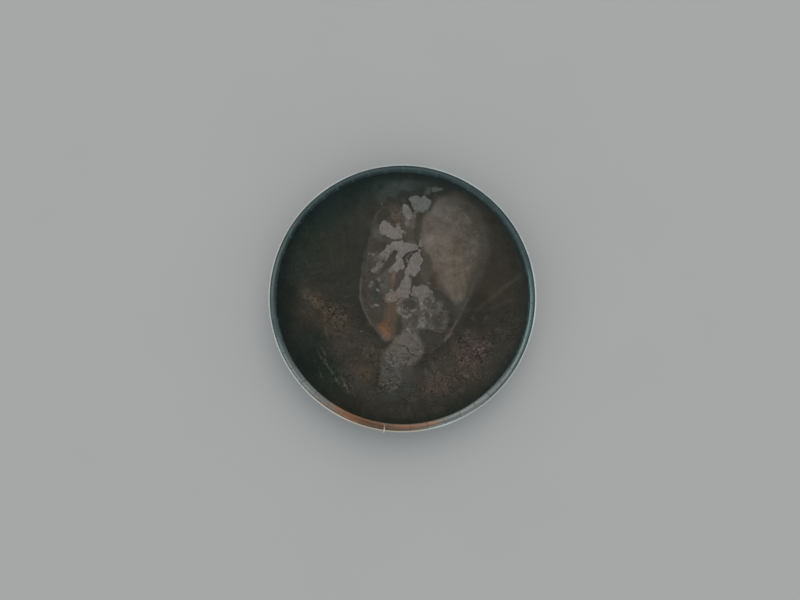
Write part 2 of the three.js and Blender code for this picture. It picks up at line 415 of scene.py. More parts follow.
def slurry_material():
    """Liquid with films of scum below, floating crust above; the crust's ragged edge is cut here."""
    s = Shader("slurry_and_crust")
    tone, hue, dry, mottle = (s.value(k) for k in ("tone", "hue", "dry", "mottle"))
    top, top_hue, top_mottle, cover, shelter, cool = (s.value(k) for k in ("top", "top_hue", "top_mottle", "cover", "shelter", "cool"))
    warp = s.noise(1.1, 2.0)
    lumps = s.noise(2.6, 4.0, 0.62, 0.35)
    ripple = s.noise(4.6, 1.5, 0.45, 0.9)
    grain = s.noise(9.0, 4.0, 0.6)
    fine = s.noise(46.0, 3.0, 0.6)
    ragged = s.noise(4.2, 5.0, 0.68, 0.5)
    cut = s.add(cover, s.mul(s.math("SUBTRACT", ragged, 0.5), 0.95))
    crust = s.span(cut, 0.34, 0.72)
    t = s.add(s.mul(tone, s.math("SUBTRACT", 1.0, crust)), s.mul(top, crust))
    mot = s.add(s.mul(mottle, s.math("SUBTRACT", 1.0, crust)), s.mul(top_mottle, crust))
    d = s.math("MAXIMUM", dry, crust)
    cracks = s.span(s.cells(2.3), 0.0, 0.06, 1.0, 0.0)
    t = s.add(t, s.mul(s.mul(mot, 0.6), s.math("SUBTRACT", lumps, 0.5)))
    t = s.add(t, s.mul(s.mul(mot, 1.1), s.math("SUBTRACT", ripple, 0.5)))
    t = s.add(t, s.mul(s.mul(mot, 0.5), s.math("SUBTRACT", grain, 0.5)))
    t = s.add(t, s.mul(s.mul(d, 0.05), s.math("SUBTRACT", fine, 0.5)))
    t = s.math("SUBTRACT", t, s.mul(s.mul(cracks, crust), s.mul(s.span(warp, 0.45, 0.6), 0.06)))
    # the crust's edge is wetter and darker than its middle
    rim = s.mul(s.span(cut, 0.40, 0.56), s.span(cut, 0.86, 0.58))
    t = s.math("SUBTRACT", t, s.mul(rim, 0.010))
    t = s.math("MAXIMUM", t, 0.05)
    # painted light: the albedo is multiplied by the inverse of the light that reaches the slurry, so it is painted
    # brighter where the wall shades it
    albedo = s.math("SUBTRACT", s.mul(s.math("POWER", t, 2.2), shelter), 0.0035)
    albedo = s.math("MAXIMUM", albedo, 0.0012)
    h = s.add(s.mul(hue, s.math("SUBTRACT", 1.0, crust)), s.mul(top_hue, crust))
    h = s.add(h, s.mul(s.math("SUBTRACT", grain, 0.5), 0.12), clamp=True)
    tint = s.ramp(h, SLURRY_HUES)
    colour = s.mix(1.0, s.grey(albedo), tint, "MULTIPLY")
    # thin, dark liquid is yellower than thick scum
    yellow = s.mix(s.span(t, 0.14, 0.42, 0.0, 1.0, "LINEAR"), (1.04, 1.0, 0.74), (1.04, 1.0, 0.95))
    yellow = s.mix(cool, yellow, (1.02, 1.0, 1.10))
    yellow = s.mix(s.mul(cool, -1.0), yellow, (1.05, 1.0, 0.55))
    colour = s.mix(1.0, colour, yellow, "MULTIPLY")
    rough = s.span(s.add(d, s.mul(s.math("SUBTRACT", grain, 0.5), 0.3)), 0.0, 1.0, 0.42, 0.93, "LINEAR")
    height = s.add(s.mul(lumps, 0.6), s.add(s.mul(grain, 0.35), s.mul(fine, 0.12)))
    height = s.mul(height, s.span(d, 0.0, 1.0, 0.06, 1.0, "LINEAR"))
    height = s.add(height, s.mul(crust, 0.5))
    return s.finish(colour, rough, specular=0.12, normal=s.bump(height, 0.7, 0.035))


def wall_material():
    """Enamelled sheet: dark green-blue, chalked pale where dry, stained and slimed where wet."""
    s = Shader("enamelled_sheet")
    tone, hue, wet, inside, arc, each, shelter = (s.value(k) for k in ("tone", "hue", "wet", "inside", "arc", "each", "shelter"))
    z = s.xyz()[2]
    along = s.combine(arc, 0.0, z)
    streak = s.noise(1.0, 4.0, 0.6, 0.2, vec=along, stretch=(5.5, 1.0, 0.35))
    runs = s.noise(1.0, 3.0, 0.55, 0.0, vec=along, stretch=(19.0, 1.0, 0.6))
    blotch = s.noise(1.3, 5.0, 0.6, 0.3, vec=along)
    fine = s.noise(30.0, 4.0, 0.6, vec=along)
    # distance along the wall from the nearest upright seam, and up from the lap below
    to_seam = s.math("PINGPONG", arc, 1.275)
    band = s.mul(s.span(to_seam, 0.03, 0.17, 1.0, 0.0), inside)
    over = s.math("FLOORED_MODULO", s.add(z, -0.03), COURSE)
    under_lap = s.span(over, COURSE - 0.55, COURSE, 0.0, 1.0)
    on_lap = s.span(over, 0.02, 0.16, 1.0, 0.0)
    t = s.add(tone, s.mul(s.math("SUBTRACT", each, 0.5), 0.055))
    t = s.add(t, s.mul(s.math("SUBTRACT", streak, 0.5), 0.10))
    t = s.add(t, s.mul(s.math("SUBTRACT", runs, 0.5), 0.07))
    t = s.add(t, s.mul(s.math("SUBTRACT", blotch, 0.5), 0.10))
    t = s.add(t, s.mul(s.math("SUBTRACT", fine, 0.5), 0.03))
    # lime and dust hang at the seams of dark walls; at those of pale ones the seam is darkened, with painted shade in
    # the gap between the sheets and with dirt
    off = s.math("SUBTRACT", 0.36, tone)
    t = s.add(t, s.mul(band, s.add(s.mul(s.math("MAXIMUM", off, 0.0), 0.75), s.mul(s.math("MINIMUM", off, 0.0), 0.32))))
    t = s.add(t, s.mul(s.mul(under_lap, s.span(runs, 0.45, 0.7)), -0.045))
    t = s.add(t, s.mul(s.mul(on_lap, s.math("SUBTRACT", 1.0, wet)), 0.03))
    t = s.math("MAXIMUM", t, 0.06)
    # painted light: the albedo is multiplied by the inverse of the light that reaches the inside face, so the sheets
    # are painted brighter where the tank shades them
    albedo = s.math("MAXIMUM", s.math("SUBTRACT", s.mul(s.math("POWER", t, 2.2), shelter), 0.002), 0.004)
    albedo = s.math("MINIMUM", albedo, 0.62)
    h = s.add(hue, s.mul(s.mul(s.math("SUBTRACT", each, 0.5), s.span(hue, 0.3, 0.8)), 0.24))
    h = s.add(h, s.mul(s.math("SUBTRACT", blotch, 0.5), s.span(hue, 0.3, 0.8, 0.10, 0.26)), clamp=True)
    colour = s.mix(1.0, s.grey(albedo), s.ramp(h, HUES), "MULTIPLY")
    # rust that weeps from bolts and cut edges
    rust = s.mul(s.span(runs, 0.60, 0.74), s.mul(s.span(blotch, 0.50, 0.68), s.mul(under_lap, 0.55)))
    colour = s.mix(rust, colour, (0.115, 0.048, 0.018))
    rough = s.add(s.span(wet, 0.0, 1.0, 0.62, 0.34, "LINEAR"), s.mul(s.math("SUBTRACT", blotch, 0.5), 0.25), clamp=True)
    height = s.add(s.mul(fine, 0.25), s.mul(blotch, 0.5))
    return s.finish(colour, rough, specular=0.35, normal=s.bump(height, 0.25, 0.004))


def steel_material(name, light, dark, grime, specks=0.35, rust_amount=0.35, rough=0.55, metallic=0.25, specular=0.4, inner=None):
    """Weathered zinc or paint: cloudy, chalked, with dirt, rust specks and worn brighter patches."""
    s = Shader(name)
    cloud = s.noise(0.9, 4.0, 0.6, 0.4)
    spangle = s.noise(14.0, 3.0, 0.65, 0.2)
    fine = s.noise(75.0, 3.0, 0.6)
    dirt = s.noise(3.1, 5.0, 0.65, 0.5)
    spots = s.noise(38.0, 2.0, 0.5)
    colour = s.mix(s.span(cloud, 0.32, 0.68), dark, light)
    colour = s.mix(s.mul(s.span(spangle, 0.35, 0.7), 0.25), colour, light)
    colour = s.mix(s.mul(s.span(dirt, 0.52, 0.72), 0.65), colour, grime)
    colour = s.mix(s.mul(s.span(spots, 0.66, 0.74), specks), colour, (0.05, 0.05, 0.045))
    if inner:      # black growth creeps over the inner edge
        x, y, _ = s.xyz()
        radius = s.math("SQRT", s.add(s.mul(x, x), s.mul(y, y)))
        ragged = s.add(radius, s.mul(s.math("SUBTRACT", dirt, 0.5), 0.05))
        north_west, south = s.add(s.mul(x, -0.616), s.mul(y, 0.788)), s.add(s.mul(x, 0.26), s.mul(y, -0.966))
        ragged = s.math("SUBTRACT", ragged, s.mul(s.span(north_west, 0.86 * R, 0.96 * R), 0.04))
        edge = s.mul(s.span(ragged, inner - 0.012, inner + 0.060, 0.92, 0.0), s.span(south, 0.90 * R, 0.985 * R, 1.0, 0.1))
        for az, width, most, patch in ((315, 24, 0.42, (0.20, 0.23, 0.225)), (95, 26, 0.30, (0.22, 0.25, 0.24)), (42, 14, 0.30, (0.22, 0.25, 0.24)), (0, 14, 0.55, (0.62, 0.69, 0.68)),
                                       (121, 10, 0.45, (0.62, 0.66, 0.62)), (150, 24, 0.40, (0.46, 0.45, 0.36)), (240, 17, 0.80, (0.56, 0.46, 0.34)), (264, 22, 0.80, (0.39, 0.31, 0.20))):
            ca, sa = math.cos(math.radians(az)), math.sin(math.radians(az))
            there = s.span(s.add(s.mul(x, ca), s.mul(y, sa)), R * math.cos(math.radians(width)), R * math.cos(math.radians(0.35 * width)), 0.0, most)
            colour = s.mix(s.mul(there, s.span(cloud, 0.30, 0.62, 0.65, 1.0)), colour, patch)
        colour = s.mix(edge, colour, (0.07, 0.075, 0.065))
    ru = s.mul(s.span(s.noise(5.5, 4.0, 0.65, 0.3), 0.60, 0.72), rust_amount)
    colour = s.mix(ru, colour, (0.16, 0.07, 0.03))
    r = s.add(s.add(rough, s.mul(s.math("SUBTRACT", cloud, 0.5), 0.2)), s.mul(ru, 0.4), clamp=True)
    height = s.add(s.mul(spangle, 0.5), s.mul(fine, 0.3))
    return s.finish(colour, r, s.mul(s.math("SUBTRACT", 1.0, ru), metallic), specular, s.bump(height, 0.2, 0.002))


def concrete_material():
    s = Shader("floor_concrete")
    a, b, c = s.noise(0.6, 4.0, 0.6), s.noise(7.0, 5.0, 0.65), s.noise(90.0, 3.0, 0.6)
    colour = s.mix(s.span(a, 0.35, 0.65), (0.16, 0.155, 0.14), (0.27, 0.26, 0.235))
    colour = s.mix(s.mul(s.span(b, 0.5, 0.7), 0.5), colour, (0.09, 0.085, 0.07))
    colour = s.mix(s.mul(s.span(c, 0.6, 0.75), 0.3), colour, (0.4, 0.39, 0.36))
    return s.finish(colour, s.span(b, 0.3, 0.7, 0.75, 0.95), specular=0.3, normal=s.bump(s.add(b, s.mul(c, 0.4)), 0.5, 0.006))


def sealant_material():
    s = Shader("sealant_bead")
    tone = s.value("tone")
    a, b = s.noise(4.0, 4.0, 0.6), s.noise(60.0, 3.0, 0.5)
    t = s.add(tone, s.mul(s.math("SUBTRACT", a, 0.5), 0.14))
    albedo = s.math("POWER", s.math("MAXIMUM", t, 0.08), 2.2)
    colour = s.mix(1.0, s.grey(albedo), (0.97, 1.02, 0.98), "MULTIPLY")
    colour = s.mix(s.mul(s.span(b, 0.55, 0.75), 0.3), colour, (0.03, 0.035, 0.03))
    return s.finish(colour, s.span(a, 0.3, 0.7, 0.6, 0.85), specular=0.3, normal=s.bump(s.add(a, s.mul(b, 0.3)), 0.5, 0.002))


def bolt_material(name, light, dark, rust_amount):
    s = Shader(name)
    each = s.value("each")
    a, b = s.noise(55.0, 3.0, 0.6), s.noise(300.0, 2.0, 0.5)
    colour = s.mix(s.span(s.add(each, s.mul(s.math("SUBTRACT", a, 0.5), 0.6)), 0.2, 0.8), dark, light)
    rusty = s.mul(s.span(s.add(s.mul(each, 0.55), s.mul(a, 0.6)), 0.62, 0.78), rust_amount)
    colour = s.mix(rusty, colour, (0.15, 0.06, 0.025))
    return s.finish(colour, s.span(b, 0.3, 0.7, 0.45, 0.75), specular=0.4, normal=s.bump(b, 0.2, 0.0006))


MAT = {
    "slurry": slurry_material(),
    "wall": wall_material(),
    "rim": steel_material("weathered_rim_steel", (0.475, 0.53, 0.525), (0.36, 0.41, 0.405), (0.22, 0.22, 0.19), 0.3, 0.25, 0.62, 0.1, inner=R),
    "angle": steel_material("galvanised_angle", (0.30, 0.32, 0.32), (0.19, 0.205, 0.205), (0.12, 0.115, 0.095), 0.3, 0.45, 0.55, 0.35),
    "pipe": steel_material("painted_pipe_steel", (0.66, 0.62, 0.53), (0.50, 0.47, 0.41), (0.25, 0.23, 0.18), 0.25, 0.35, 0.5, 0.0),
    "bracket": steel_material("galvanised_bracket", (0.34, 0.36, 0.355), (0.22, 0.235, 0.23), (0.13, 0.12, 0.10), 0.35, 0.5, 0.55, 0.35),
    "concrete": concrete_material(),
    "sealant": sealant_material(),
    "nut": bolt_material("galvanised_nuts", (0.34, 0.35, 0.345), (0.17, 0.175, 0.17), 0.75),
    "cap": bolt_material("bolt_head_caps", (0.13, 0.16, 0.165), (0.05, 0.062, 0.064), 0.35),
}

# ------------------------------------------------------------------ wall state
rng = np.random.default_rng(4711)


def wall_light(az, depth):
    """How much of the open sky's light reaches the inside face, from full at 1."""
    a = np.radians(az)
    open_side = np.clip(0.15 - 1.05 * np.sin(a) - 0.15 * np.cos(a), 0, 1)
    fall = np.exp(-depth / 1.6)
    return (0.33 + 0.32 * fall) * (1 - open_side) + (0.50 + 0.25 * fall) * open_side


def wall_look(az, z, inside):
    """Tone, hue and wetness of the sheets by azimuth in degrees and height.

    Named patches of weather: chalked sheets in the south-west and south-east, a bleached third course
    in the east, a pale stretch in the west-north-west, slime that reaches higher in the north. The tone
    also holds painted light: the south side is painted brighter, where light falls, and the north side darker, in
    shade."""
    depth = TOP - z
    wob = fbm(az / 5.0, z * 0.8 + 3.1, 31) - 0.5
    # painted light and weather: the tones below are brighter in the south-west and south, where light falls on the
    # inside face, and darker in the north, in its shade
    top = 0.27 + 0.06 * bell(az, 140, 60) + 0.16 * bell(az, 217, 23) + 0.05 * bell(az, 245, 15) + 0.20 * bell(az, 291, 19) + 0.09 * bell(az, 332, 32)
    third_hi = 0.305 + 0.055 * bell(az, 160, 17) + 0.10 * bell(az, 168, 15) + 0.225 * bell(az, 215, 17) + 0.03 * bell(az, 240, 9) - 0.02 * bell(az, 258, 10) + 0.125 * bell(az, 322, 38)
    third_hi = third_hi + 0.03 * bell(az, 165, 14) + 0.035 * bell(az, 240, 11) + 0.02 * bell(az, 208, 8) - 0.03 * bell(az, 300, 9)
    third = 0.283 - 0.025 * bell(az, 105, 60) + 0.07 * bell(az, 168, 17) + 0.135 * bell(az, 222, 20) - 0.03 * bell(az, 256, 14) + 0.16 * bell(az, 303, 27) + 0.27 * bell(az, 340, 23)
    third = third - 0.03 * bell(az, 212, 10) - 0.02 * bell(az, 100, 30) + 0.025 * bell(az, 241, 8) - 0.02 * bell(az, 255, 6)
    tide = 0.222 - 0.032 * bell(az, 97, 50) + 0.075 * bell(az, 34, 34) + 0.15 * bell(az, 221, 32) + 0.29 * bell(az, 297, 29) + 0.335 * bell(az, 353, 22)
    tide = tide + 0.045 * bell(az, 352, 14) - 0.03 * bell(az, 16, 9) - 0.03 * bell(az, 212, 9) - 0.03 * bell(az, 256, 7)
    second = 0.195 + 0.06 * bell(az, 46, 44) + 0.03 * bell(az, 176, 17) + 0.21 * bell(az, 227, 33) + 0.045 * bell(az, 270, 9) + 0.31 * bell(az, 299, 30) - 0.025 * bell(az, 256, 7)
    low = 0.168 + 0.045 * bell(az, 40, 50) + 0.02 * bell(az, 180, 15) + 0.225 * bell(az, 226, 26) + 0.085 * bell(az, 264, 14) + 0.24 * bell(az, 297, 35)
    foot = low * (0.66 + 0.20 * bell(az, 248, 40) - 0.11 * bell(az, 286, 14))
    knots = [(0.78, foot), (1.00, 0.94 * low), (1.40, low), (2.05, second), (2.72, tide), (2.86, tide * 0.55 + third * 0.45), (3.40, third), (4.16, third_hi), (4.30, 0.6 * third_hi + 0.4 * top),
             (4.90, top), (5.60, top)]
    zz = z + 0.10 * wob
    tone = np.where(zz <= knots[0][0], knots[0][1], 0.0)
    for (z0, t0), (z1, t1) in zip(knots, knots[1:]):
        k = np.clip((zz - z0) / (z1 - z0), 0, 1)
        tone = np.where((zz > z0) & (zz <= z1), t0 * (1 - k) + t1 * k, tone)
    tone = np.where(zz > knots[-1][0], knots[-1][1], tone)
    tone = tone * (1.11 + 0.06 * bell(az, 215, 30))
    # brown where the fill pipe has splashed for years; it runs further east on the lower courses
    east_end = 272 + 9 * smooth(1.3, 1.6, depth) + 3 * wob
    brown = smooth(223, 243, az) * (1 - smooth(east_end, east_end + 14, az))
    hue = 0.12 + 0.07 * bell(az, 170, 22) + 0.20 * bell(az, 219, 17) + 0.22 * bell(az, 300, 17) + 0.08 * bell(az, 325, 22)
    hue = hue * (1 - brown) + (0.92 + 0.05 * bell(az, 251, 13) - 0.05 * bell(az, 273, 9) - 0.06 * bell(az, 237, 7)) * brown
    wet_line = 2.85 + 1.7 * np.clip(bell(az, 262, 55) + 0.8 * bell(az, 305, 24), 0, 1)
    wet = smooth(wet_line - 0.12, wet_line + 0.30, depth)
    # a darker band from the rim down to about 0.8 m, strongest in the north and east-south-east, almost none in the
    # south
    under_rim_dark = 1 - smooth(0.30, 0.82, depth + 0.16 * (fbm(az / 1.3, z * 1.5, 55) - 0.5))
    tone = tone - (0.055 + 0.075 * bell(az, 80, 75) + 0.05 * bell(az, 333, 22) - 0.06 * bell(az, 286, 24)) * under_rim_dark
    # painted light that undoes the tank's own shade on the inside face
    shelter = 1 / wall_light(az, np.clip(depth, 0, 5))
    # outside: the sheets' own green-blue, washed by rain, with soil splashed at the foot
    out_tone = 0.40 + 0.03 * bell(az, 200, 90) + 0.05 * smooth(0.55, 0.1, z) + 0.02 * (fbm(az / 5.0, z, 77) - 0.5)
    out_hue = 0.13 + 0.42 * smooth(0.75, 0.1, z)
    tone = tone * inside + out_tone * (1 - inside)
    hue = hue * inside + out_hue * (1 - inside)
    return np.clip(tone, 0.08, 0.75), np.clip(hue, 0, 1), wet * inside, shelter * inside + (1 - inside)


def wall():
    nu, nv = 10, 12
    for c in range(1, 5):
        z0, z1 = (c - 1) * COURSE, TOP if c == 4 else c * COURSE + LAP
        ri, ro = face_in(c), face_out(c)
        up = [(ro, z) for z in np.linspace(z0, z1, nv + 1)]
        down = [(ri, z) for z in np.linspace(z1, z0, nv + 1)]
        strips = [up, ([(ro, z1), (ri, z1)], 1.0), (down, 1.0), ([(ri, z0), (ro, z0)], 1.0)]
        # the upright lap shows outside as a second thickness over the seam
        s0 = {1: 0.105, 2: z0 + 0.002, 3: 2.878, 4: z0 + 0.002}[c]
        s1 = {1: 1.396, 2: 2.784, 3: 4.196, 4: 5.474}[c]
        for quadrant, (n0, n1) in QUADRANTS.items():
            m = Build()
            for n in range(n0, n1):
                each = rng.random()
                gap = 0.0004 / R
                sweep(m, strips, np.linspace(seam(n) + gap, seam(n + 1) - gap, nu + 1), each=each)
                a = np.linspace(-0.036, 0.036, 3) / R + seam(n)
                lap = [[(ro + 0.005, z) for z in np.linspace(s0, s1, nv + 1)], [(ro + 0.005, s1), (ro, s1)], [(ro, s0), (ro + 0.005, s0)]]
                sweep(m, lap, a, cap=False, each=each)
                for side, sg in ((a[0], -1), (a[-1], 1)):
                    zz = np.linspace(s0, s1, nv + 1)
                    v = np.array([[q * math.cos(side), q * math.sin(side), h] for h in zz for q in (ro, ro + 0.005)])
                    k = np.arange(nv) * 2
                    q = np.stack([k, k + 1, k + 3, k + 2], -1)
                    m.add(v, q if sg < 0 else q[:, ::-1], inside=0.0, arc=(side - SEAM0) * R_CAD, each=each)
            verts = np.concatenate(m.v)
            az = np.degrees(np.arctan2(verts[:, 1], verts[:, 0])) % 360
            ins = np.concatenate([np.broadcast_to(d.get("inside", 0.0), (k,)) for k, d in m.values])
            tone, hue, wet, shelter = wall_look(az, verts[:, 2], ins)
            at = 0
            for k, d in m.values:
                d["tone"], d["hue"], d["wet"], d["shelter"] = (q[at:at + k] for q in (tone, hue, wet, shelter))
                at += k
            m.object(f"sheets_course_{c}_{quadrant}", MAT["wall"], "wall_sheet", replaces=[f"wall_course_{c}_{quadrant}"])


def bead(radius, z0, z1, n0, n1, width=0.013, proud=0.004, outward=False, steps=6):
    """A rounded sealant bead up each seam, as verts and quads."""
    sgn = 1 if outward else -1
    prof = [(-width / 2, 0.0), (-width * 0.32, proud * 0.75), (0.0, proud), (width * 0.32, proud * 0.75), (width / 2, 0.0)]
    if not outward:
        prof = prof[::-1]
    zs = np.linspace(z0, z1, steps + 1)
    vs, qs, off = [], [], 0
    for n in range(n0, n1):
        th = seam(n)
        pts = []
        for zz in zs:
            for y, p in prof:
                a = th + y / radius
                rr = radius + sgn * p
                pts.append((rr * math.cos(a), rr * math.sin(a), zz))
        i = np.arange(len(zs) * 5).reshape(len(zs), 5)
        q = np.stack([i[:-1, :-1], i[:-1, 1:], i[1:, 1:], i[1:, :-1]], -1).reshape(-1, 4)
        vs.append(pts)
        qs.append(q + off)
        off += len(pts)
    return np.concatenate(vs), np.concatenate(qs)


def sealants():
    for quadrant, (n0, n1) in QUADRANTS.items():
        m = Build()
        ang = np.linspace(seam(n0), seam(n1), (n1 - n0) * 8 + 1)
        for c in range(1, 5):
            z0 = SLURRY_Z - 0.05 if c == 1 else (c - 1) * COURSE + (LAP if outer_course(c) else 0.0)
            z1 = 5.594 if c == 4 else c * COURSE + (LAP if not outer_course(c) else 0.0)
            v, q = bead(face_in(c), z0, z1, n0, n1)
            az = np.degrees(np.arctan2(v[:, 1], v[:, 0])) % 360
            t, _, _, _ = wall_look(az, v[:, 2], 1.0)
            m.add(v, q, tone=0.62 * 0.40 + 0.38 * t)
        # fillets on the inside laps: on the ledges at 1.46 and 4.26 m, and under the edge at 2.8 m
        for ledge in (COURSE + LAP, 3 * COURSE + LAP):
            strip = [(R + 0.0008, ledge), (R + 0.0022, ledge + 0.0042), (R + STEP, ledge + 0.0065)]
            sweep(m, [strip[::-1]], ang, cap=False, tone=0.36)
        under = 2 * COURSE
        strip = [(R + STEP, under - 0.0065), (R + 0.0022, under - 0.0042), (R + 0.0008, under)]
        sweep(m, [strip[::-1]], ang, cap=False, tone=0.36)
        # outside: under the lower edges of courses 2 and 4
        for edge in (COURSE, 3 * COURSE):
            ro = R + SHEET_T
            strip = [(ro, edge - 0.0065), (ro + 0.003, edge - 0.0042), (ro + 0.0045, edge)]
            sweep(m, [strip], ang, cap=False, tone=0.30)
        m.object(f"sealant_beads_{quadrant}", MAT["sealant"], "sealant")


def bolts():
    nut_v, nut_p = prism(6, 0.0139, 0.0115)
    cap_v, cap_p = prism(6, 0, 0, rings=[(0.0, 0.0150), (0.0045, 0.0130), (0.0085, 0.0062)])
    cols = np.array([-0.018, 0.018])
    for quadrant, (n0, n1) in QUADRANTS.items():
        nt, nz, nr, ct, cz, cr = [], [], [], [], [], []

        def put(theta, z, r_out, r_in):
            theta, z = np.broadcast_arrays(np.asarray(theta, float), np.asarray(z, float))
            if r_out:
                nt.append(theta.ravel()), nz.append(z.ravel()), nr.append(np.full(theta.size, r_out))
            if r_in:
                keep = z.ravel() > SLURRY_Z - 0.02
                ct.append(theta.ravel()[keep]), cz.append(z.ravel()[keep]), cr.append(np.full(keep.sum(), r_in))

        for n in range(n0, n1):
            for c in range(1, 5):
                zs = {1: np.linspace(0.15, 1.35, 15), 2: np.linspace(1.52, 2.74, 15), 3: np.linspace(2.92, 4.14, 15), 4: np.linspace(4.32, 5.42, 14)}[c]
                th, zz = np.meshgrid(seam(n) + cols / R, zs)
                put(th, zz, face_out(c) + 0.005, face_in(c))
            arcs = 0.057 + np.arange(24) * (2.55 - 0.114) / 23
            th = seam(n) + arcs / R_CAD
            put(th, 1 * COURSE + 0.03, face_out(2), face_in(1))
            put(th, 2 * COURSE + 0.03, R + 0.019, face_in(3))
            put(th, 3 * COURSE + 0.03, face_out(4), face_in(3))
            th = seam(n) + (0.106 + np.arange(12) * 0.2125) / R_CAD
            put(th, 5.535, R + 0.019, face_in(4))
            put(th, 0.062, R + STEP + 0.010, None)
        for name, tv, tp, (tt, zz, rr), inward, mat, slot, sm in (
            ("hex_nuts", nut_v, nut_p, (nt, nz, nr), False, "nut", "galvanised_steel", False),
            ("bolt_heads", cap_v, cap_p, (ct, cz, cr), True, "cap", "sealant", True),
        ):
            m = Build()
            tt, zz, rr = np.concatenate(tt), np.concatenate(zz), np.concatenate(rr)
            place(m, tv, tp, tt, zz, rr, inward=inward, spin=rng.random(len(tt)) * 2.1, each=rng.random(len(tt)))
            m.object(f"{name}_{quadrant}", MAT[mat], slot, smooth=sm)


def arc_pts(cr, cz, rad, a0, a1, n=5):
    return [(cr + rad * math.cos(a), cz + rad * math.sin(a)) for a in np.linspace(math.radians(a0), math.radians(a1), n)]


def rings():
    """Rim, stiffening angle and base angle, in bolted lengths of two sheets."""
    rim_z, plate = 5.6005, 0.008
    top = rim_z + plate
    lip_o, lip_i, leg_i, leg_o = R + 0.200, R + 0.192, R + 0.0110, R + 0.0190
    fold = arc_pts(lip_o - 0.014, top - 0.014, 0.014, 0, 90)
    fold_in = arc_pts(lip_i - 0.007, rim_z - 0.007, 0.007, 90, 0)
    rim = [
        [(lip_o, rim_z - 0.06), (lip_o, top - 0.014)], fold,
        [(lip_o - 0.014, top), (R + 0.10, top), (R - 0.0085, top)], [(R - 0.0085, top), (R - 0.010, top - 0.0015)],
        [(R - 0.010, top - 0.0015), (R - 0.010, rim_z)], [(R - 0.010, rim_z), (leg_i, rim_z)],
        [(leg_i, rim_z), (leg_i, 5.48)], [(leg_i, 5.48), (leg_o, 5.48)], [(leg_o, 5.48), (leg_o, rim_z)],
        [(leg_o, rim_z), (lip_i - 0.007, rim_z)], fold_in, [(lip_i, rim_z - 0.007), (lip_i, rim_z - 0.06)], [(lip_i, rim_z - 0.06), (lip_o, rim_z - 0.06)],
    ]
    st = 2.870
    o = R + 0.0110
    stiff = [
        [(o + 0.080, st - 0.008), (o + 0.080, st)], [(o + 0.080, st), (o, st)], [(o, st), (o, st - 0.080)],
        [(o, st - 0.080), (o + 0.008, st - 0.080)], [(o + 0.008, st - 0.080), (o + 0.008, st - 0.016)],
        arc_pts(o + 0.016, st - 0.016, 0.008, 180, 90), [(o + 0.016, st - 0.008), (o + 0.080, st - 0.008)],
    ]
    b = R + STEP
    base = [
        [(b + 0.100, 0.0), (b + 0.100, 0.010)], [(b + 0.100, 0.010), (b + 0.020, 0.010)],
        arc_pts(b + 0.020, 0.020, 0.010, 270, 180), [(b + 0.010, 0.020), (b + 0.010, 0.100)],
        [(b + 0.010, 0.100), (b, 0.100)], [(b, 0.100), (b, 0.0)], [(b, 0.0), (b + 0.100, 0.0)],
    ]
    for quadrant, (n0, n1) in QUADRANTS.items():
        for name, strips, mat, slot, node, gap in (
            ("rim", rim, "rim", "rim_steel", "top_rim", 0.002), ("stiffener", stiff, "angle", "galvanised_steel", "wind_stiffener", 0.003),
            ("foot_angle", base, "angle", "galvanised_steel", "base_angle", 0.003),
        ):
            m = Build()
            cuts = list(range(n0, n1, 2)) + [n1]
            if name != "rim":      # the joints of one ring don't stand over the next one's
                cuts = [n0] + list(range(n0 + 1, n1, 2)) + [n1]
                cuts = sorted(set(cuts))
            for a, e in zip(cuts, cuts[1:]):
                g = gap / 2 / R
                sweep(m, strips, np.linspace(seam(a) + g, seam(e) - g, (e - a) * 8 + 1))
            m.object(f"{name}_{quadrant}", MAT[mat], slot, replaces=[f"{node}_{quadrant}"])


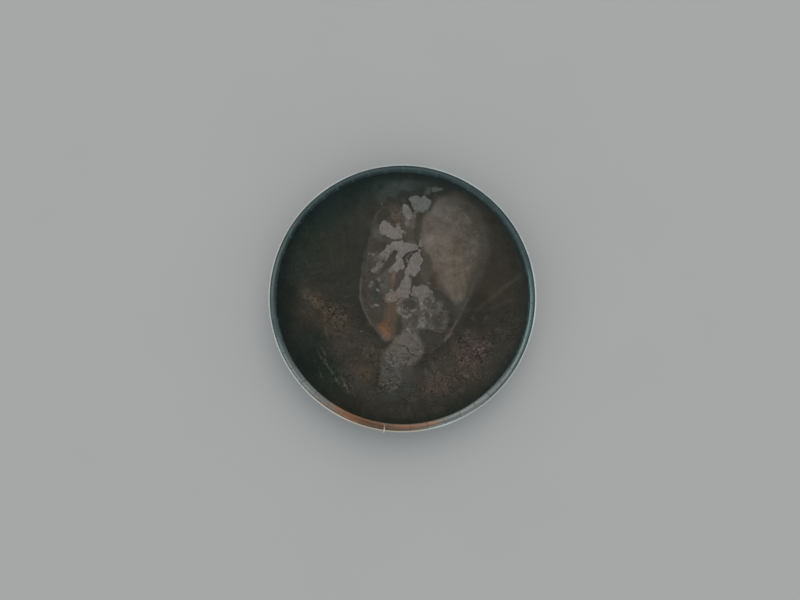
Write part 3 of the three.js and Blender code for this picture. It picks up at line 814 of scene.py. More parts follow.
def fittings():
    """Gussets and splice plates of the rim and stiffener, and the anchors of the base angle."""
    stub_v, stub_p = prism(8, 0.0085, 0.0, rings=[(0.0, 0.0085), (0.026, 0.0085), (0.0275, 0.0072)])
    big_v, big_p = prism(6, 0.0173, 0.016)
    nut_v, nut_p = prism(6, 0.0139, 0.0115)
    for quadrant, (n0, n1) in QUADRANTS.items():
        m = Build()
        halves = np.arange(n0, n1, 0.5)
        for h in halves:      # a tapered web under the rim plate, from the leg to the lip
            th = seam(h)
            t = 0.003
            prof = [(R + 0.0192, 5.484), (R + 0.060, 5.500), (R + 0.1915, 5.548), (R + 0.1915, 5.592), (R + 0.184, 5.6), (R + 0.0192, 5.6)]
            v = []
            for y in (-t, t):
                for rr, zz in prof:
                    v.append((rr * math.cos(th) - y * math.sin(th), rr * math.sin(th) + y * math.cos(th), zz))
            k = len(prof)
            sides = [[i, (i + 1) % k, (i + 1) % k + k, i + k] for i in range(k)]
            m.add(v, sides, [list(range(k))], each=0.5)
            m.add(v, [list(range(k, 2 * k))[::-1]], each=0.5)
        for n in range(n0, n1):
            if (n - n0) % 2 == 0:
                block(m, seam(n), R + 0.0192, R + 0.0252, -0.13, -0.012, 5.492, 5.585)
                block(m, seam(n), R + 0.0192, R + 0.0252, 0.012, 0.13, 5.492, 5.585)
                block(m, seam(n), R + 0.186, R + 0.1915, -0.10, 0.10, 5.5445, 5.588)
            else:
                block(m, seam(n), R + 0.030, R + 0.088, -0.14, 0.14, 2.8555, 2.8618)
        m.object(f"rim_gussets_and_splices_{quadrant}", MAT["angle"], "galvanised_steel", smooth=False)

        m = Build()
        count = 3 * (n1 - n0)
        th = seam(n0) + (np.arange(count) + 0.5) * PITCH / 3
        foot = R + STEP + 0.062
        for t in th:
            block(m, t, foot - 0.028, foot + 0.028, -0.028, 0.028, 0.0102, 0.0162)
        # nuts and threaded ends stand upright on the plate washers
        for tv, tp, z in ((big_v, big_p, 0.0162), (stub_v, stub_p, 0.0322)):
            upright = np.stack([tv[:, 1], tv[:, 2], tv[:, 0]], -1)
            place(m, upright, tp, th, z, foot, each=0.6)
        # splice bolts on the rim's leg and under the stiffener's shelf
        odd = np.array([n for n in range(n0, n1) if (n - n0) % 2])
        even = np.array([n for n in range(n0, n1) if (n - n0) % 2 == 0])
        for dy in (-0.105, -0.040, 0.040, 0.105):
            place(m, nut_v, nut_p, seam(even) + dy / R, 5.51, R + 0.0252, spin=rng.random(len(even)), each=rng.random(len(even)))
            up = np.stack([nut_v[:, 1], nut_v[:, 2], nut_v[:, 0]], -1)
            place(m, up, nut_p, seam(odd) + dy / R, 2.8702, R + 0.062, each=rng.random(len(odd)))
        m.object(f"anchors_and_splice_bolts_{quadrant}", MAT["nut"], "galvanised_steel", smooth=False)


# ------------------------------------------------------------------ fill pipe
PC, PS = math.cos(PIPE_AZ), math.sin(PIPE_AZ)


def pipe_point(r, y, z):
    return np.stack([r * PC - y * PS, r * PS + y * PC, z], -1)


def tube(m, path, r_out, r_in, sides=40):
    """A pipe along a path of (r, z, tangent angle in the r-z plane), with its bore and cut ends."""
    phi = np.arange(sides) * 2 * math.pi / sides
    rings_v = {}
    for key, rad in (("o", r_out), ("i", r_in)):
        v = []
        for r, z, a in path:
            nr, nz = -math.sin(a), math.cos(a)      # normal to the path, in its own plane
            v.append(pipe_point(r + rad * np.cos(phi) * nr, rad * np.sin(phi), z + rad * np.cos(phi) * nz))
        rings_v[key] = np.array(v)
    k = len(path)
    i = np.arange(k * sides).reshape(k, sides)
    j = np.roll(i, -1, axis=1)
    q = np.stack([i[:-1], i[1:], j[1:], j[:-1]], -1).reshape(-1, 4)
    m.add(rings_v["o"], q)
    m.add(rings_v["i"], q[:, ::-1])
    for end, order in ((0, 1), (-1, -1)):
        both = np.concatenate([rings_v["o"][end], rings_v["i"][end]])
        a = np.arange(sides)
        b = (a + 1) % sides
        q2 = np.stack([a, b, b + sides, a + sides], -1)
        m.add(both, q2[:, ::order])


def collar(m, r, z, a, r_out, r_in, half, sides=40, lip=0.0025):
    """A ring round the pipe, with rounded shoulders: a weld, a coupling or a flange."""
    prof = [(-half, r_in), (-half, r_out - lip), (-half + lip, r_out), (half - lip, r_out), (half, r_out - lip), (half, r_in)]
    phi = np.arange(sides) * 2 * math.pi / sides
    tr, tz = math.cos(a), math.sin(a)
    nr, nz = -math.sin(a), math.cos(a)
    for (s0, q0), (s1, q1) in zip(prof, prof[1:]):
        v = []
        for s, q in ((s0, q0), (s1, q1)):
            v.append(pipe_point(r + s * tr + q * np.cos(phi) * nr, q * np.sin(phi), z + s * tz + q * np.cos(phi) * nz))
        k = np.arange(sides)
        j = (k + 1) % sides
        m.add(np.concatenate(v), np.stack([k, k + sides, j + sides, j], -1))


def fill_pipe():
    up = math.pi / 2
    m = Build()
    tube(m, [(PIPE_OUT, z, up) for z in np.linspace(PIPE_INLET + PIPE_BEND, PIPE_TOP, 9)], PIPE_R, PIPE_R - PIPE_WALL)
    for z in (2.6, 4.4):
        collar(m, PIPE_OUT, z, up, PIPE_R + 0.0035, PIPE_R - 0.001, 0.006)
    m.object("fill_pipe_riser_tube", MAT["pipe"], "pipe_steel", replaces=["fill_pipe_riser"])

    m = Build()
    mid = (PIPE_OUT + PIPE_IN) / 2
    path = [(mid + PIPE_BEND * math.cos(t), PIPE_TOP + PIPE_BEND * math.sin(t), t + up) for t in np.linspace(0, math.pi, 33)]
    tube(m, path, PIPE_R, PIPE_R - PIPE_WALL)
    for r in (PIPE_OUT, PIPE_IN):
        collar(m, r, PIPE_TOP, up, PIPE_R + 0.004, PIPE_R - 0.001, 0.007)
    m.object("fill_pipe_top_bend_tube", MAT["pipe"], "pipe_steel", replaces=["fill_pipe_top_bend"])

    m = Build()
    tube(m, [(PIPE_IN, z, up) for z in np.linspace(PIPE_END, PIPE_TOP, 7)], PIPE_R, PIPE_R - PIPE_WALL)
    m.object("fill_pipe_drop_tube", MAT["pipe"], "pipe_steel", replaces=["fill_pipe_drop"])

    m = Build()
    cz = PIPE_INLET + PIPE_BEND
    cr = PIPE_OUT + PIPE_BEND
    path = [(cr + PIPE_BEND * math.cos(t), cz + PIPE_BEND * math.sin(t), t + up) for t in np.linspace(math.pi, 1.5 * math.pi, 17)]
    tube(m, path, PIPE_R, PIPE_R - PIPE_WALL)
    m.object("fill_pipe_inlet_elbow_tube", MAT["pipe"], "pipe_steel", replaces=["fill_pipe_inlet_elbow"])

    # grooved clamp over the joint of riser and elbow
    m = Build()
    collar(m, PIPE_OUT, cz, up, PIPE_R + 0.017, PIPE_R - 0.001, 0.024, lip=0.004)
    for z in (cz - 0.021, cz + 0.021):
        collar(m, PIPE_OUT, z, up, PIPE_R + 0.021, PIPE_R + 0.01, 0.005, lip=0.002)
    for sg in (-1, 1):
        block(m, PIPE_AZ, PIPE_OUT - 0.017, PIPE_OUT + 0.017, sg * 0.098 - 0.018, sg * 0.098 + 0.018, cz - 0.018, cz + 0.018, 0.004)
    m.object("fill_pipe_clamp", MAT["bracket"], "galvanised_steel")

    # inlet flange with eight bolt holes, cut with a boolean
    bm = bmesh.new()
    bmesh.ops.create_cone(bm, cap_ends=True, segments=64, radius1=0.1425, radius2=0.1425, depth=0.022)
    mesh = bpy.data.meshes.new("fill_pipe_flange_ring")
    bm.to_mesh(mesh)
    bm.free()
    flange = bpy.data.objects.new("fill_pipe_flange_ring", mesh)
    bpy.context.scene.collection.objects.link(flange)
    cutters = []
    bm = bmesh.new()
    bmesh.ops.create_cone(bm, cap_ends=True, segments=40, radius1=PIPE_R - PIPE_WALL, radius2=PIPE_R - PIPE_WALL, depth=0.06)
    for k in range(8):
        a = (k + 0.5) * math.pi / 4
        made = bmesh.ops.create_cone(bm, cap_ends=True, segments=16, radius1=0.011, radius2=0.011, depth=0.06)
        bmesh.ops.translate(bm, verts=made["verts"], vec=(0.120 * math.cos(a), 0.120 * math.sin(a), 0))
    cm = bpy.data.meshes.new("cutter")
    bm.to_mesh(cm)
    bm.free()
    cutter = bpy.data.objects.new("cutter", cm)
    bpy.context.scene.collection.objects.link(cutter)
    mod = flange.modifiers.new("holes", "BOOLEAN")
    mod.object, mod.operation, mod.solver = cutter, "DIFFERENCE", "EXACT"
    bev = flange.modifiers.new("edges", "BEVEL")
    bev.width, bev.segments, bev.limit_method = 0.0015, 2, "ANGLE"
    bpy.context.view_layer.update()
    done = bpy.data.meshes.new_from_object(flange.evaluated_get(bpy.context.evaluated_depsgraph_get()))
    flange.modifiers.clear()
    flange.data = done
    bpy.data.objects.remove(cutter)
    centre = PIPE_OUT + PIPE_BEND + 0.0003 + 0.011
    co = np.empty(len(done.vertices) * 3, np.float32)
    done.vertices.foreach_get("co", co)
    co = co.reshape(-1, 3)
    world = pipe_point(centre + co[:, 2], co[:, 0], PIPE_INLET + co[:, 1])
    # the swap of axes is a rotation, so faces still point out
    done.vertices.foreach_set("co", world.astype(np.float32).ravel())
    done.update()
    done.materials.clear()
    done.materials.append(MAT["bracket"])
    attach(flange, "root")
    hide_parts("fill_pipe_inlet_flange")

    # rubber packing between the bracket plates and the round wall, and the bracket bolts
    m = Build()
    nut_v, nut_p = prism(6, 0.0139, 0.0115)
    for z in (2.0, 4.7):
        block(m, PIPE_AZ, R + 0.0108, R_CAD + 0.0108, -0.074, 0.074, z - 0.094, z + 0.094, tone=0.25)
    m.object("bracket_packing", MAT["sealant"], "sealant", smooth=False)
    m = Build()
    th, zz, rr = [], [], []
    for z in (2.0, 4.7):
        for dy in (-0.055, 0.055):
            for dz in (-0.075, 0.075):
                th.append(PIPE_AZ + dy / R)
                zz.append(z + dz)
                rr.append(R_CAD + 0.021)
    place(m, nut_v, nut_p, np.array(th), np.array(zz), np.array(rr), spin=rng.random(8), each=rng.random(8))
    th, zz = [], []
    for dy in (-0.055, 0.055):
        for dz in (-0.075, 0.075):
            th.append(PIPE_AZ + dy / R)
            zz.append(4.7 + dz)
    place(m, nut_v, nut_p, np.array(th), np.array(zz), np.full(4, R_CAD - 0.008), inward=True, spin=rng.random(4), each=rng.random(4))
    m.object("bracket_bolts", MAT["nut"], "galvanised_steel", smooth=False)


# ------------------------------------------------------------------ slurry surface
class Plan:
    """The surface drawn on a plan: one unit is 0.1516 m, x to the east and y to the south,
    with (400, 300) at 0.345 m west and 0.23 m south of the tank's centre."""

    def __init__(self, x, y):
        self.x = 400 + (x + 0.345) / 0.1516
        self.y = 300 - (y + 0.23) / 0.1516
        w1, w2 = fbm(self.x / 5.0, self.y / 5.0, 101, 3), fbm(self.x / 5.0, self.y / 5.0, 202, 3)
        w3, w4 = fbm(self.x / 1.9, self.y / 1.9, 303, 2), fbm(self.x / 1.9, self.y / 1.9, 404, 2)
        self.wx = self.x + 3.2 * (w1 - 0.5) + 1.5 * (w3 - 0.5)
        self.wy = self.y + 3.2 * (w2 - 0.5) + 1.5 * (w4 - 0.5)
        n = len(x)
        self.tone, self.hue = np.full(n, 0.17), np.full(n, 0.5)
        self.dry, self.mottle, self.lift, self.cool = np.zeros(n), np.full(n, 0.05), np.zeros(n), np.zeros(n)
        self.cover, self.top, self.top_hue, self.top_mottle = np.zeros(n), np.full(n, 0.38), np.full(n, 0.5), np.full(n, 0.06)

    def away(self, pts, warp=True):
        """Distance from an outline, negative within it."""
        x, y = (self.wx, self.wy) if warp else (self.x, self.y)
        p = np.array(pts, float)
        d = np.full(len(x), 1e9)
        odd = np.zeros(len(x), bool)
        for (x0, y0), (x1, y1) in zip(p, np.roll(p, -1, axis=0)):
            ex, ey = x1 - x0, y1 - y0
            t = np.clip(((x - x0) * ex + (y - y0) * ey) / (ex * ex + ey * ey + 1e-9), 0, 1)
            d = np.minimum(d, np.hypot(x - x0 - t * ex, y - y0 - t * ey))
            cross = (y0 > y) != (y1 > y)
            with np.errstate(divide="ignore", invalid="ignore"):
                hit = x < (x1 - x0) * (y - y0) / (y1 - y0 + 1e-12) + x0
            odd ^= cross & hit
        return np.where(odd, -d, d)

    def inside(self, pts, soft=1.3, warp=True):
        return smooth(soft, -soft, self.away(pts, warp))

    def crust(self, pts, tone, hue, mottle=0.06, lift=0.035, full=1.0, soft=1.9, cool=0.0):
        """A floating piece, on top of everything laid before it."""
        d = self.away(pts)
        near = smooth(3.0, 0.6, d)
        self.cool = self.cool + (cool - self.cool) * smooth(1.6, -0.4, d)
        for key, value in (("top", tone), ("top_hue", hue), ("top_mottle", mottle)):
            old = getattr(self, key)
            setattr(self, key, old + (value - old) * near)
        mask = smooth(soft, -soft, d)
        self.cover = np.maximum(self.cover, full * mask)
        self.lift = self.lift + (lift - self.lift) * mask

    def shade(self, mask, tone, hue=None, cool=None):
        """Changes the tone of the crust only."""
        self.top = self.top + (tone - self.top) * mask
        if cool is not None:
            self.cool = self.cool + (cool - self.cool) * mask
        if hue is not None:
            self.top_hue = self.top_hue + (hue - self.top_hue) * mask

    def open(self, mask, tone, hue, mottle=0.04, cool=0.0):
        """Open liquid cut through the crust."""
        self.lay(mask, tone, hue, 0.1, mottle, 0.0, cool)
        self.cover = self.cover * (1 - mask)

    def line(self, pts, width, soft=0.8, warp=0.35):
        x = self.x + warp * (self.wx - self.x)
        y = self.y + warp * (self.wy - self.y)
        p = np.array([q[:2] for q in pts], float)
        d = np.full(len(x), 1e9)
        for (x0, y0), (x1, y1) in zip(p, p[1:]):
            ex, ey = x1 - x0, y1 - y0
            t = np.clip(((x - x0) * ex + (y - y0) * ey) / (ex * ex + ey * ey + 1e-9), 0, 1)
            d = np.minimum(d, np.hypot(x - x0 - t * ex, y - y0 - t * ey))
        return smooth(width / 2 + soft, width / 2 - soft * 0.5, d)

    def spot(self, cx, cy, rx, ry, turn=0.0, soft=0.45, warp=True):
        x, y = (self.wx, self.wy) if warp else (self.x, self.y)
        a = math.radians(turn)
        u = ((x - cx) * math.cos(a) + (y - cy) * math.sin(a)) / rx
        v = (-(x - cx) * math.sin(a) + (y - cy) * math.cos(a)) / ry
        return smooth(1 + soft, 1 - soft, np.hypot(u, v))

    def haze(self, cx, cy, rx, ry, turn=0.0):
        a = math.radians(turn)
        u = ((self.x - cx) * math.cos(a) + (self.y - cy) * math.sin(a)) / rx
        v = (-(self.x - cx) * math.sin(a) + (self.y - cy) * math.cos(a)) / ry
        return np.exp(-(u * u + v * v))

    def lay(self, mask, tone=None, hue=None, dry=None, mottle=None, lift=None, cool=None):
        cool = 0.0 if cool is None and hue is not None else cool
        for key, value in (("tone", tone), ("hue", hue), ("dry", dry), ("mottle", mottle), ("lift", lift), ("cool", cool)):
            if value is not None:
                old = getattr(self, key)
                setattr(self, key, old + (value - old) * mask)


def draw_surface(p):
    """Base liquid first, then films and foam, then the floating crust and the gaps in it."""
    rr = np.hypot(p.x - 402.4, p.y - 298.4) / 125.8
    # liquid: teal-black in the north-west and near the wall, brown towards the east and south
    p.lay(1.0 + 0 * rr, 0.172, 0.52, 0.0, 0.05, 0.0)
    p.lay(p.haze(292, 205, 64, 70), 0.148, 0.0, mottle=0.02, cool=0.45)
    p.lay(0.5 * p.haze(335, 262, 28, 40), 0.20, 0.36, mottle=0.04, cool=0.2)
    p.lay(0.8 * p.haze(338, 180, 52, 32), 0.162, 0.0, mottle=0.02, cool=0.6)
    p.lay(0.55 * p.haze(336, 208, 26, 18), 0.165, 0.06, cool=0.35)
    p.lay(0.85 * p.haze(283, 300, 18, 60), 0.128, 0.03, mottle=0.02, cool=0.4)
    p.lay(0.5 * p.haze(297, 266, 10, 16), 0.178, 0.16, mottle=0.03, cool=0.2)
    p.lay(0.9 * p.haze(305, 368, 36, 28, 50), 0.118, 0.0, mottle=0.03, cool=0.35)
    p.lay(0.7 * p.haze(352, 250, 18, 70), 0.185, 0.42, mottle=0.03)
    p.lay(0.8 * p.haze(495, 268, 30, 60), 0.185, 0.66, mottle=0.02)
    p.lay(0.6 * p.haze(470, 215, 30, 30), 0.19, 0.42, mottle=0.03)
    p.lay(0.6 * p.haze(450, 185, 60, 14), 0.17, 0.08, mottle=0.03, cool=0.3)
    p.lay(0.75 * p.haze(395, 182, 44, 14), 0.188, 0.03, mottle=0.03, cool=0.35)
    p.lay(0.6 * p.haze(322, 245, 22, 20), cool=-0.7)
    p.lay(0.6 * p.haze(315, 262, 26, 28), mottle=0.10)
    p.lay(0.5 * p.haze(362, 218, 5, 24), 0.212, 0.42)
    p.lay(0.45 * p.haze(353, 290, 4, 12), 0.215, 0.40)
    # faint marks on the liquid in the north-west
    for a, w, k, tone, hue in (([(342.4, 229), (344.2, 240), (344.0, 252), (342.6, 262)], 2.0, 0.35, 0.218, 0.62), ([(351, 196), (350.6, 214), (349.4, 236)], 2.4, 0.25, 0.205, 0.20),
                               ([(360.6, 180), (360.2, 192), (361, 206)], 2.0, 0.30, 0.205, 0.15), ([(329.6, 250), (331.4, 257), (333, 265)], 1.2, 0.40, 0.225, 0.50),
                               ([(306, 268), (312, 263.6), (319, 262.4), (325, 264.4)], 1.2, 0.35, 0.215, 0.36), ([(309, 276), (316, 271.4), (323, 270.6)], 1.2, 0.35, 0.215, 0.40),
                               ([(303, 284), (309, 279), (316, 277.4)], 1.3, 0.35, 0.215, 0.50), ([(326, 268), (329, 274), (335, 278)], 1.1, 0.30, 0.215, 0.50),
                               ([(320.2, 235), (321.6, 233.2), (324, 233.6), (324.6, 235.8), (322.8, 237.4), (320.6, 236.4)], 0.6, 0.40, 0.240, 0.35)):
        p.lay(k * p.line(a, w, 1.2, 0.6), tone, hue)
    # brown mats with a fine grain; the western one is a band that slants to the south-east
    p.lay(0.55 * p.haze(297, 312, 12, 18), 0.180, 0.62, cool=-0.3)
    p.lay(0.70 * p.haze(322, 306, 30, 15, 34), 0.218, 0.66, 0.3, 0.20, cool=-0.3)
    p.lay(0.85 * p.haze(315, 301, 9, 5.5, 25), 0.268, 0.80, 0.3, 0.36, cool=-0.3)
    p.lay(0.50 * p.haze(317, 303, 6, 3.5, 25), 0.300, 0.80, cool=-0.2)
    p.lay(0.80 * p.haze(307, 293, 8, 6), 0.236, 0.66, 0.2, 0.12, cool=-0.3)
    p.lay(0.75 * p.haze(328, 307, 16, 6, 40), 0.216, 0.74, 0.3, 0.36, cool=-0.1)
    p.lay(0.70 * p.haze(339, 316, 8, 9, 30), 0.215, 0.80, 0.3, 0.36, cool=0.4)
    p.lay(0.60 * p.haze(324, 321, 16, 9), 0.218, 0.76, 0.3, 0.12, cool=-0.3)
    p.lay(0.75 * p.haze(339, 330, 12, 7), 0.236, 0.76, 0.3, 0.22, cool=-0.6)
    p.lay(0.65 * p.haze(345, 342, 22, 14), 0.240, 0.66, 0.3, 0.14, cool=0.1)
    p.lay(0.60 * p.haze(369, 346, 12, 14), 0.242, 0.50, 0.3, 0.12, cool=-0.2)
    p.lay(0.60 * p.spot(365.5, 355.5, 3.0, 4.0, 0, 0.6), 0.265, 0.46, 0.3, 0.10, cool=-0.8)
    p.lay(0.80 * p.haze(312, 338, 14, 9, 38), 0.160, 0.13, 0.1, 0.05)
    p.lay(0.55 * p.haze(343, 291, 20, 10), 0.188, 0.30, 0.1, 0.02, cool=0.2)
    p.lay(0.7 * p.haze(362, 372, 26, 22), 0.232, 0.68, 0.3, 0.16)
    p.lay(0.6 * p.haze(361, 373, 13, 11), 0.244, 0.80, 0.3, 0.20, cool=-0.7)
    p.lay(0.75 * p.haze(331, 375, 11, 24, -38), 0.148, 0.04, 0.1, 0.08)
    p.lay(0.45 * p.haze(348, 384, 10, 12), 0.205, 0.45, 0.3, 0.26)
    p.lay(0.60 * p.haze(342, 399, 24, 9, 33), 0.142, 0.10, 0.1, 0.05)
    p.lay(0.65 * p.haze(373, 393, 8, 7), 0.236, 0.45, 0.2, 0.12)
    p.lay(0.45 * p.haze(292, 299, 6, 17), 0.130, 0.10, 0.0, 0.02)
    p.lay(0.70 * p.haze(468, 352, 34, 20, -10), 0.230, 0.66, 0.3, 0.24, cool=0.0)
    p.lay(0.60 * p.haze(505, 335, 22, 22), 0.20, 0.54, 0.3, 0.12)
    p.lay(0.75 * p.haze(446, 380, 34, 14, -8), 0.232, 0.76, 0.3, 0.26, cool=0.15)
    p.lay(0.75 * p.haze(430, 390, 20, 12), 0.224, 0.82, 0.2, 0.18, cool=0.35)
    p.lay(0.80 * p.spot(471, 351, 17, 15, -20, 0.7), 0.234, 0.80, 0.4, 0.32, cool=0.7)
    p.lay(0.55 * p.haze(475, 344, 9, 8), 0.232, 0.74, 0.4, 0.32, cool=0.8)
    p.lay(0.70 * p.haze(458, 352, 8, 14), 0.234, 0.68, 0.3, 0.36, cool=-0.2)
    p.lay(0.70 * p.haze(468, 363, 9, 5), 0.258, 0.80, 0.4, 0.40, cool=0.2)
    p.lay(0.55 * p.haze(462, 375, 20, 5), 0.236, 0.70, 0.3, 0.28, cool=-0.2)
    p.lay(0.55 * p.haze(443, 363, 10, 8), 0.246, 0.56, 0.3, 0.16)
    p.lay(0.60 * p.haze(431, 373, 8, 6), 0.262, 0.52, 0.3, 0.16)
    p.lay(0.50 * p.haze(412, 372, 8, 6), 0.246, 0.45, 0.3, 0.10)
    p.lay(0.60 * p.haze(466, 397, 20, 7, -28), 0.158, 0.34, 0.1, 0.05)
    p.lay(0.55 * p.haze(457, 317, 6, 11, 20), 0.252, 0.45, 0.2, 0.08)
    p.lay(0.60 * p.haze(450, 338, 9, 8), 0.215, 0.36, 0.2, 0.04)
    p.lay(0.55 * p.haze(498, 356, 10, 10), 0.195, 0.42, 0.1, 0.03, cool=0.3)
    p.lay(0.6 * p.haze(395, 396, 30, 16), 0.205, 0.36, 0.3, 0.10)
    p.lay(0.6 * p.haze(351, 200, 9, 8), 0.128, 0.0, cool=0.4)
    p.lay(0.5 * p.haze(358, 190, 9, 7), 0.120, 0.0, cool=0.6)
    p.lay(0.4 * p.haze(338, 207, 12, 10), 0.130, 0.0, cool=0.5)
    p.lay(0.4 * p.haze(318, 345, 8, 7), 0.135, 0.05, cool=0.2)
    p.lay(0.4 * p.haze(461, 404, 8, 4), 0.135, 0.30)
    p.lay(0.5 * p.haze(512, 246, 8, 9), 0.145, 0.20)
    p.lay(0.4 * p.haze(332, 314, 5, 4), 0.275, 0.78, 0.3, 0.30)
    p.lay(0.4 * p.haze(466, 310, 5, 5), 0.255, 0.50)
    p.lay(0.5 * p.haze(413, 399, 4, 3), 0.275, 0.50)
    p.lay(0.5 * p.haze(464, 193, 7, 4), 0.258, 0.25, cool=0.4)
    p.lay(0.4 * p.haze(482, 206, 7, 7), 0.240, 0.45)
    p.lay(0.35 * p.haze(318, 221, 13, 12), 0.135, 0.0, cool=0.4)
    p.lay(0.6 * p.haze(290, 291, 7, 9), 0.115, 0.15, cool=0.2)
    p.lay(0.6 * p.haze(286, 320, 7, 10), 0.110, 0.0, cool=0.3)
    # inside the teardrop, west of the islands
    west = p.inside([(383, 207), (376, 214), (372, 224), (369, 236), (367, 250), (363, 262), (361, 280), (360, 295), (363, 308), (369, 320), (377, 331), (386, 339),
                     (396, 338), (400, 320), (400, 250), (405, 212), (396, 203)], 2.5)
    p.lay(west, 0.240, 0.58, 0.3, 0.10)
    p.lay(0.7 * p.haze(388, 210, 16, 9), 0.215, 0.55, 0.2, 0.06)
    p.lay(0.45 * p.haze(370, 224, 4, 6), 0.258, 0.50)
    # blue-grey films in the north
    p.lay(0.5 * p.haze(382, 200, 5, 4), 0.268, 0.28, cool=0.1)
    p.lay(0.6 * p.spot(404, 200.6, 3.2, 2.2, -10, 0.6), 0.275, 0.30)
    p.lay(0.8 * p.inside([(384, 187), (388, 183), (396, 182), (403, 185), (399, 194), (393, 198), (386, 197), (381, 192)], 3.0), 0.246, 0.22, 0.3, 0.05, cool=0.25)
    p.lay(0.85 * p.spot(408, 185.5, 9, 4.8, 0, 0.6), 0.262, 0.22, 0.3, 0.05, cool=0.3)
    p.lay(0.7 * p.spot(380, 196, 5, 4, 0, 0.6), 0.238, 0.26, 0.3, 0.05, cool=0.2)
    p.lay(0.6 * p.spot(374.5, 187, 3, 5, 20, 0.6), 0.2, 0.2, 0.3, 0.03)
    p.lay(0.9 * p.spot(427.5, 191, 2.8, 4.4, 10, 0.4), 0.275, 0.28, 0.5, 0.03, cool=0.5)
    p.lay(0.95 * p.inside([(431, 187), (434, 186.5), (438, 188), (443, 188.5), (441.5, 191.8), (432, 192)], 0.9), 0.312, 0.3, 0.5, 0.03, cool=0.5)
    p.lay(0.7 * p.spot(420, 185, 12, 4.5, 0, 0.6), 0.215, 0.16, cool=0.25)
    # smooth warm film in the east of the teardrop
    p.lay(p.inside([(436, 199), (446, 195), (456, 193), (465, 198), (474, 205), (482, 215), (488, 230), (490, 245), (488, 262), (483, 276), (476, 290), (468, 300),
                    (455, 306), (444, 296), (430, 262), (420, 240), (424, 214)], 5.0), 0.235, 0.55, 0.2, 0.04)
    p.lay(p.inside([(424, 216), (428, 212), (433, 208), (436, 200), (445, 198), (456, 203), (463, 211), (469, 219), (474, 231), (477, 240), (479, 250), (475, 262),
                    (471, 276), (468, 286), (465, 296), (461, 302), (456, 303), (451, 299), (447, 294), (443, 289), (439, 281), (435, 272), (431, 262),
                    (426, 252), (421, 244), (420, 236), (421, 226)], 4.6), 0.308, 0.60, 0.5, 0.06, cool=-0.05)
    p.lay(0.9 * p.inside([(420, 236), (424, 231), (430, 231), (438, 232), (446, 234), (452, 243), (460, 255), (466, 270), (465, 285), (461, 297), (454, 299),
                          (447, 292), (441, 283), (436, 272), (432, 262), (427, 252), (421, 245)], 4.5), 0.338, 0.65, 0.6, 0.07, cool=-0.15)
    p.lay(0.8 * p.haze(430, 240, 7.5, 4.0), 0.408, 0.70, 0.7, 0.08, cool=0.35)
    p.lay(0.50 * p.haze(433, 250, 6, 9), 0.380, 0.66, cool=-0.2)
    p.lay(0.40 * p.haze(440, 233, 10, 4), 0.372, 0.68, cool=0.1)
    p.lay(0.45 * p.haze(446, 247, 8, 7), 0.375, 0.64, cool=-0.2)
    p.lay(0.35 * p.haze(456, 286, 8, 9), 0.352, 0.62)
    p.lay(0.45 * p.haze(449, 270, 7, 11), 0.318, 0.64)
    p.lay(0.60 * p.haze(440, 213, 9, 8), 0.345, 0.56, cool=0.1)
    p.lay(0.60 * p.haze(428, 224, 7, 7), 0.322, 0.70)
    p.lay(0.50 * p.haze(436, 228, 15, 3.4), 0.315, 0.70, cool=0.45)
    p.lay(0.40 * p.haze(452, 219, 12, 6), 0.318, 0.62, cool=0.35)
    p.lay(0.75 * p.haze(452, 202, 10, 5), 0.278, 0.46, cool=0.1)
    p.lay(0.6 * p.haze(475, 247, 7, 9), 0.300, 0.52)
    p.lay(0.55 * p.haze(469, 229, 9, 9), 0.258, 0.56)
    p.lay(0.35 * p.haze(454, 270, 9, 22), 0.336, 0.66, cool=-0.5)
    p.lay(0.50 * p.haze(458, 304, 7, 4), 0.262, 0.45)
    p.lay(0.65 * p.inside([(446, 295), (452, 297), (459, 295), (462, 299), (459, 303), (453, 303.6), (449, 300)], 2.0), 0.335, 0.50, 0.6, 0.10, cool=-0.4)
    for a in ([(457, 224), (460, 215), (463, 213), (467, 217), (471, 223)], [(450, 228.5), (455, 228.8), (460, 227.6)], [(424, 226.5), (432, 225)],
              [(463, 226), (466, 231), (465, 236)], [(447, 216), (445, 220), (441, 221)]):
        p.lay(0.45 * p.line(a, 1.0), 0.36, 0.5)
    film = p.inside([(430, 210), (450, 202), (468, 215), (478, 240), (474, 272), (460, 300), (448, 292), (434, 262), (424, 240), (424, 222)], 5.0)
    down = smooth(222, 246, p.y)      # streaks lie east-west in the north and swing round to the south
    u = p.x * (1 - 0.85 * down) + p.y * (0.25 + 0.70 * down)
    v = p.y * (1 - 0.85 * down) - p.x * (0.25 + 0.70 * down)
    p.tone = p.tone + film * (0.042 * (fbm(u / 9.0, v / 2.0, 1501, 3) - 0.5) + 0.018 * (fbm(u / 3.0, v / 1.2, 1502, 2) - 0.5)
                              + 0.080 * (fbm(p.x / 6.5, p.y / 5.5, 1504, 3) - 0.5) + 0.030 * (fbm(p.x / 2.2, p.y / 2.0, 1505, 2) - 0.5))
    p.hue = p.hue + film * 0.12 * (fbm(p.x / 9.0, p.y / 5.0, 1503, 2) - 0.5)
    for c in ((453, 241.5, 1.3, 1.6), (448.2, 247, 0.8, 1.2), (434, 253.5, 1.6, 1.3), (454.5, 265, 1.5, 1.8), (459, 234.5, 2.2, 0.9), (440, 264, 0.9, 1.8), (474.5, 235, 1, 1.6)):
        p.lay(0.45 * p.spot(*c), 0.27, 0.6)
    p.lay(0.6 * p.spot(475.5, 232.6, 1.2, 0.9), 0.36, 0.45)
    p.lay(0.5 * p.spot(478, 235.5, 1.4, 1.2), 0.33, 0.5)
    p.lay(0.5 * p.haze(487, 289, 9, 9), 0.215, 0.78)
    p.lay(0.45 * p.haze(438, 241, 9, 5), 0.392, 0.66)
    p.lay(0.40 * p.haze(447, 240, 6, 6), 0.388, 0.66)
    p.lay(0.50 * p.haze(454, 232, 7, 4), 0.372, 0.72, cool=0.2)
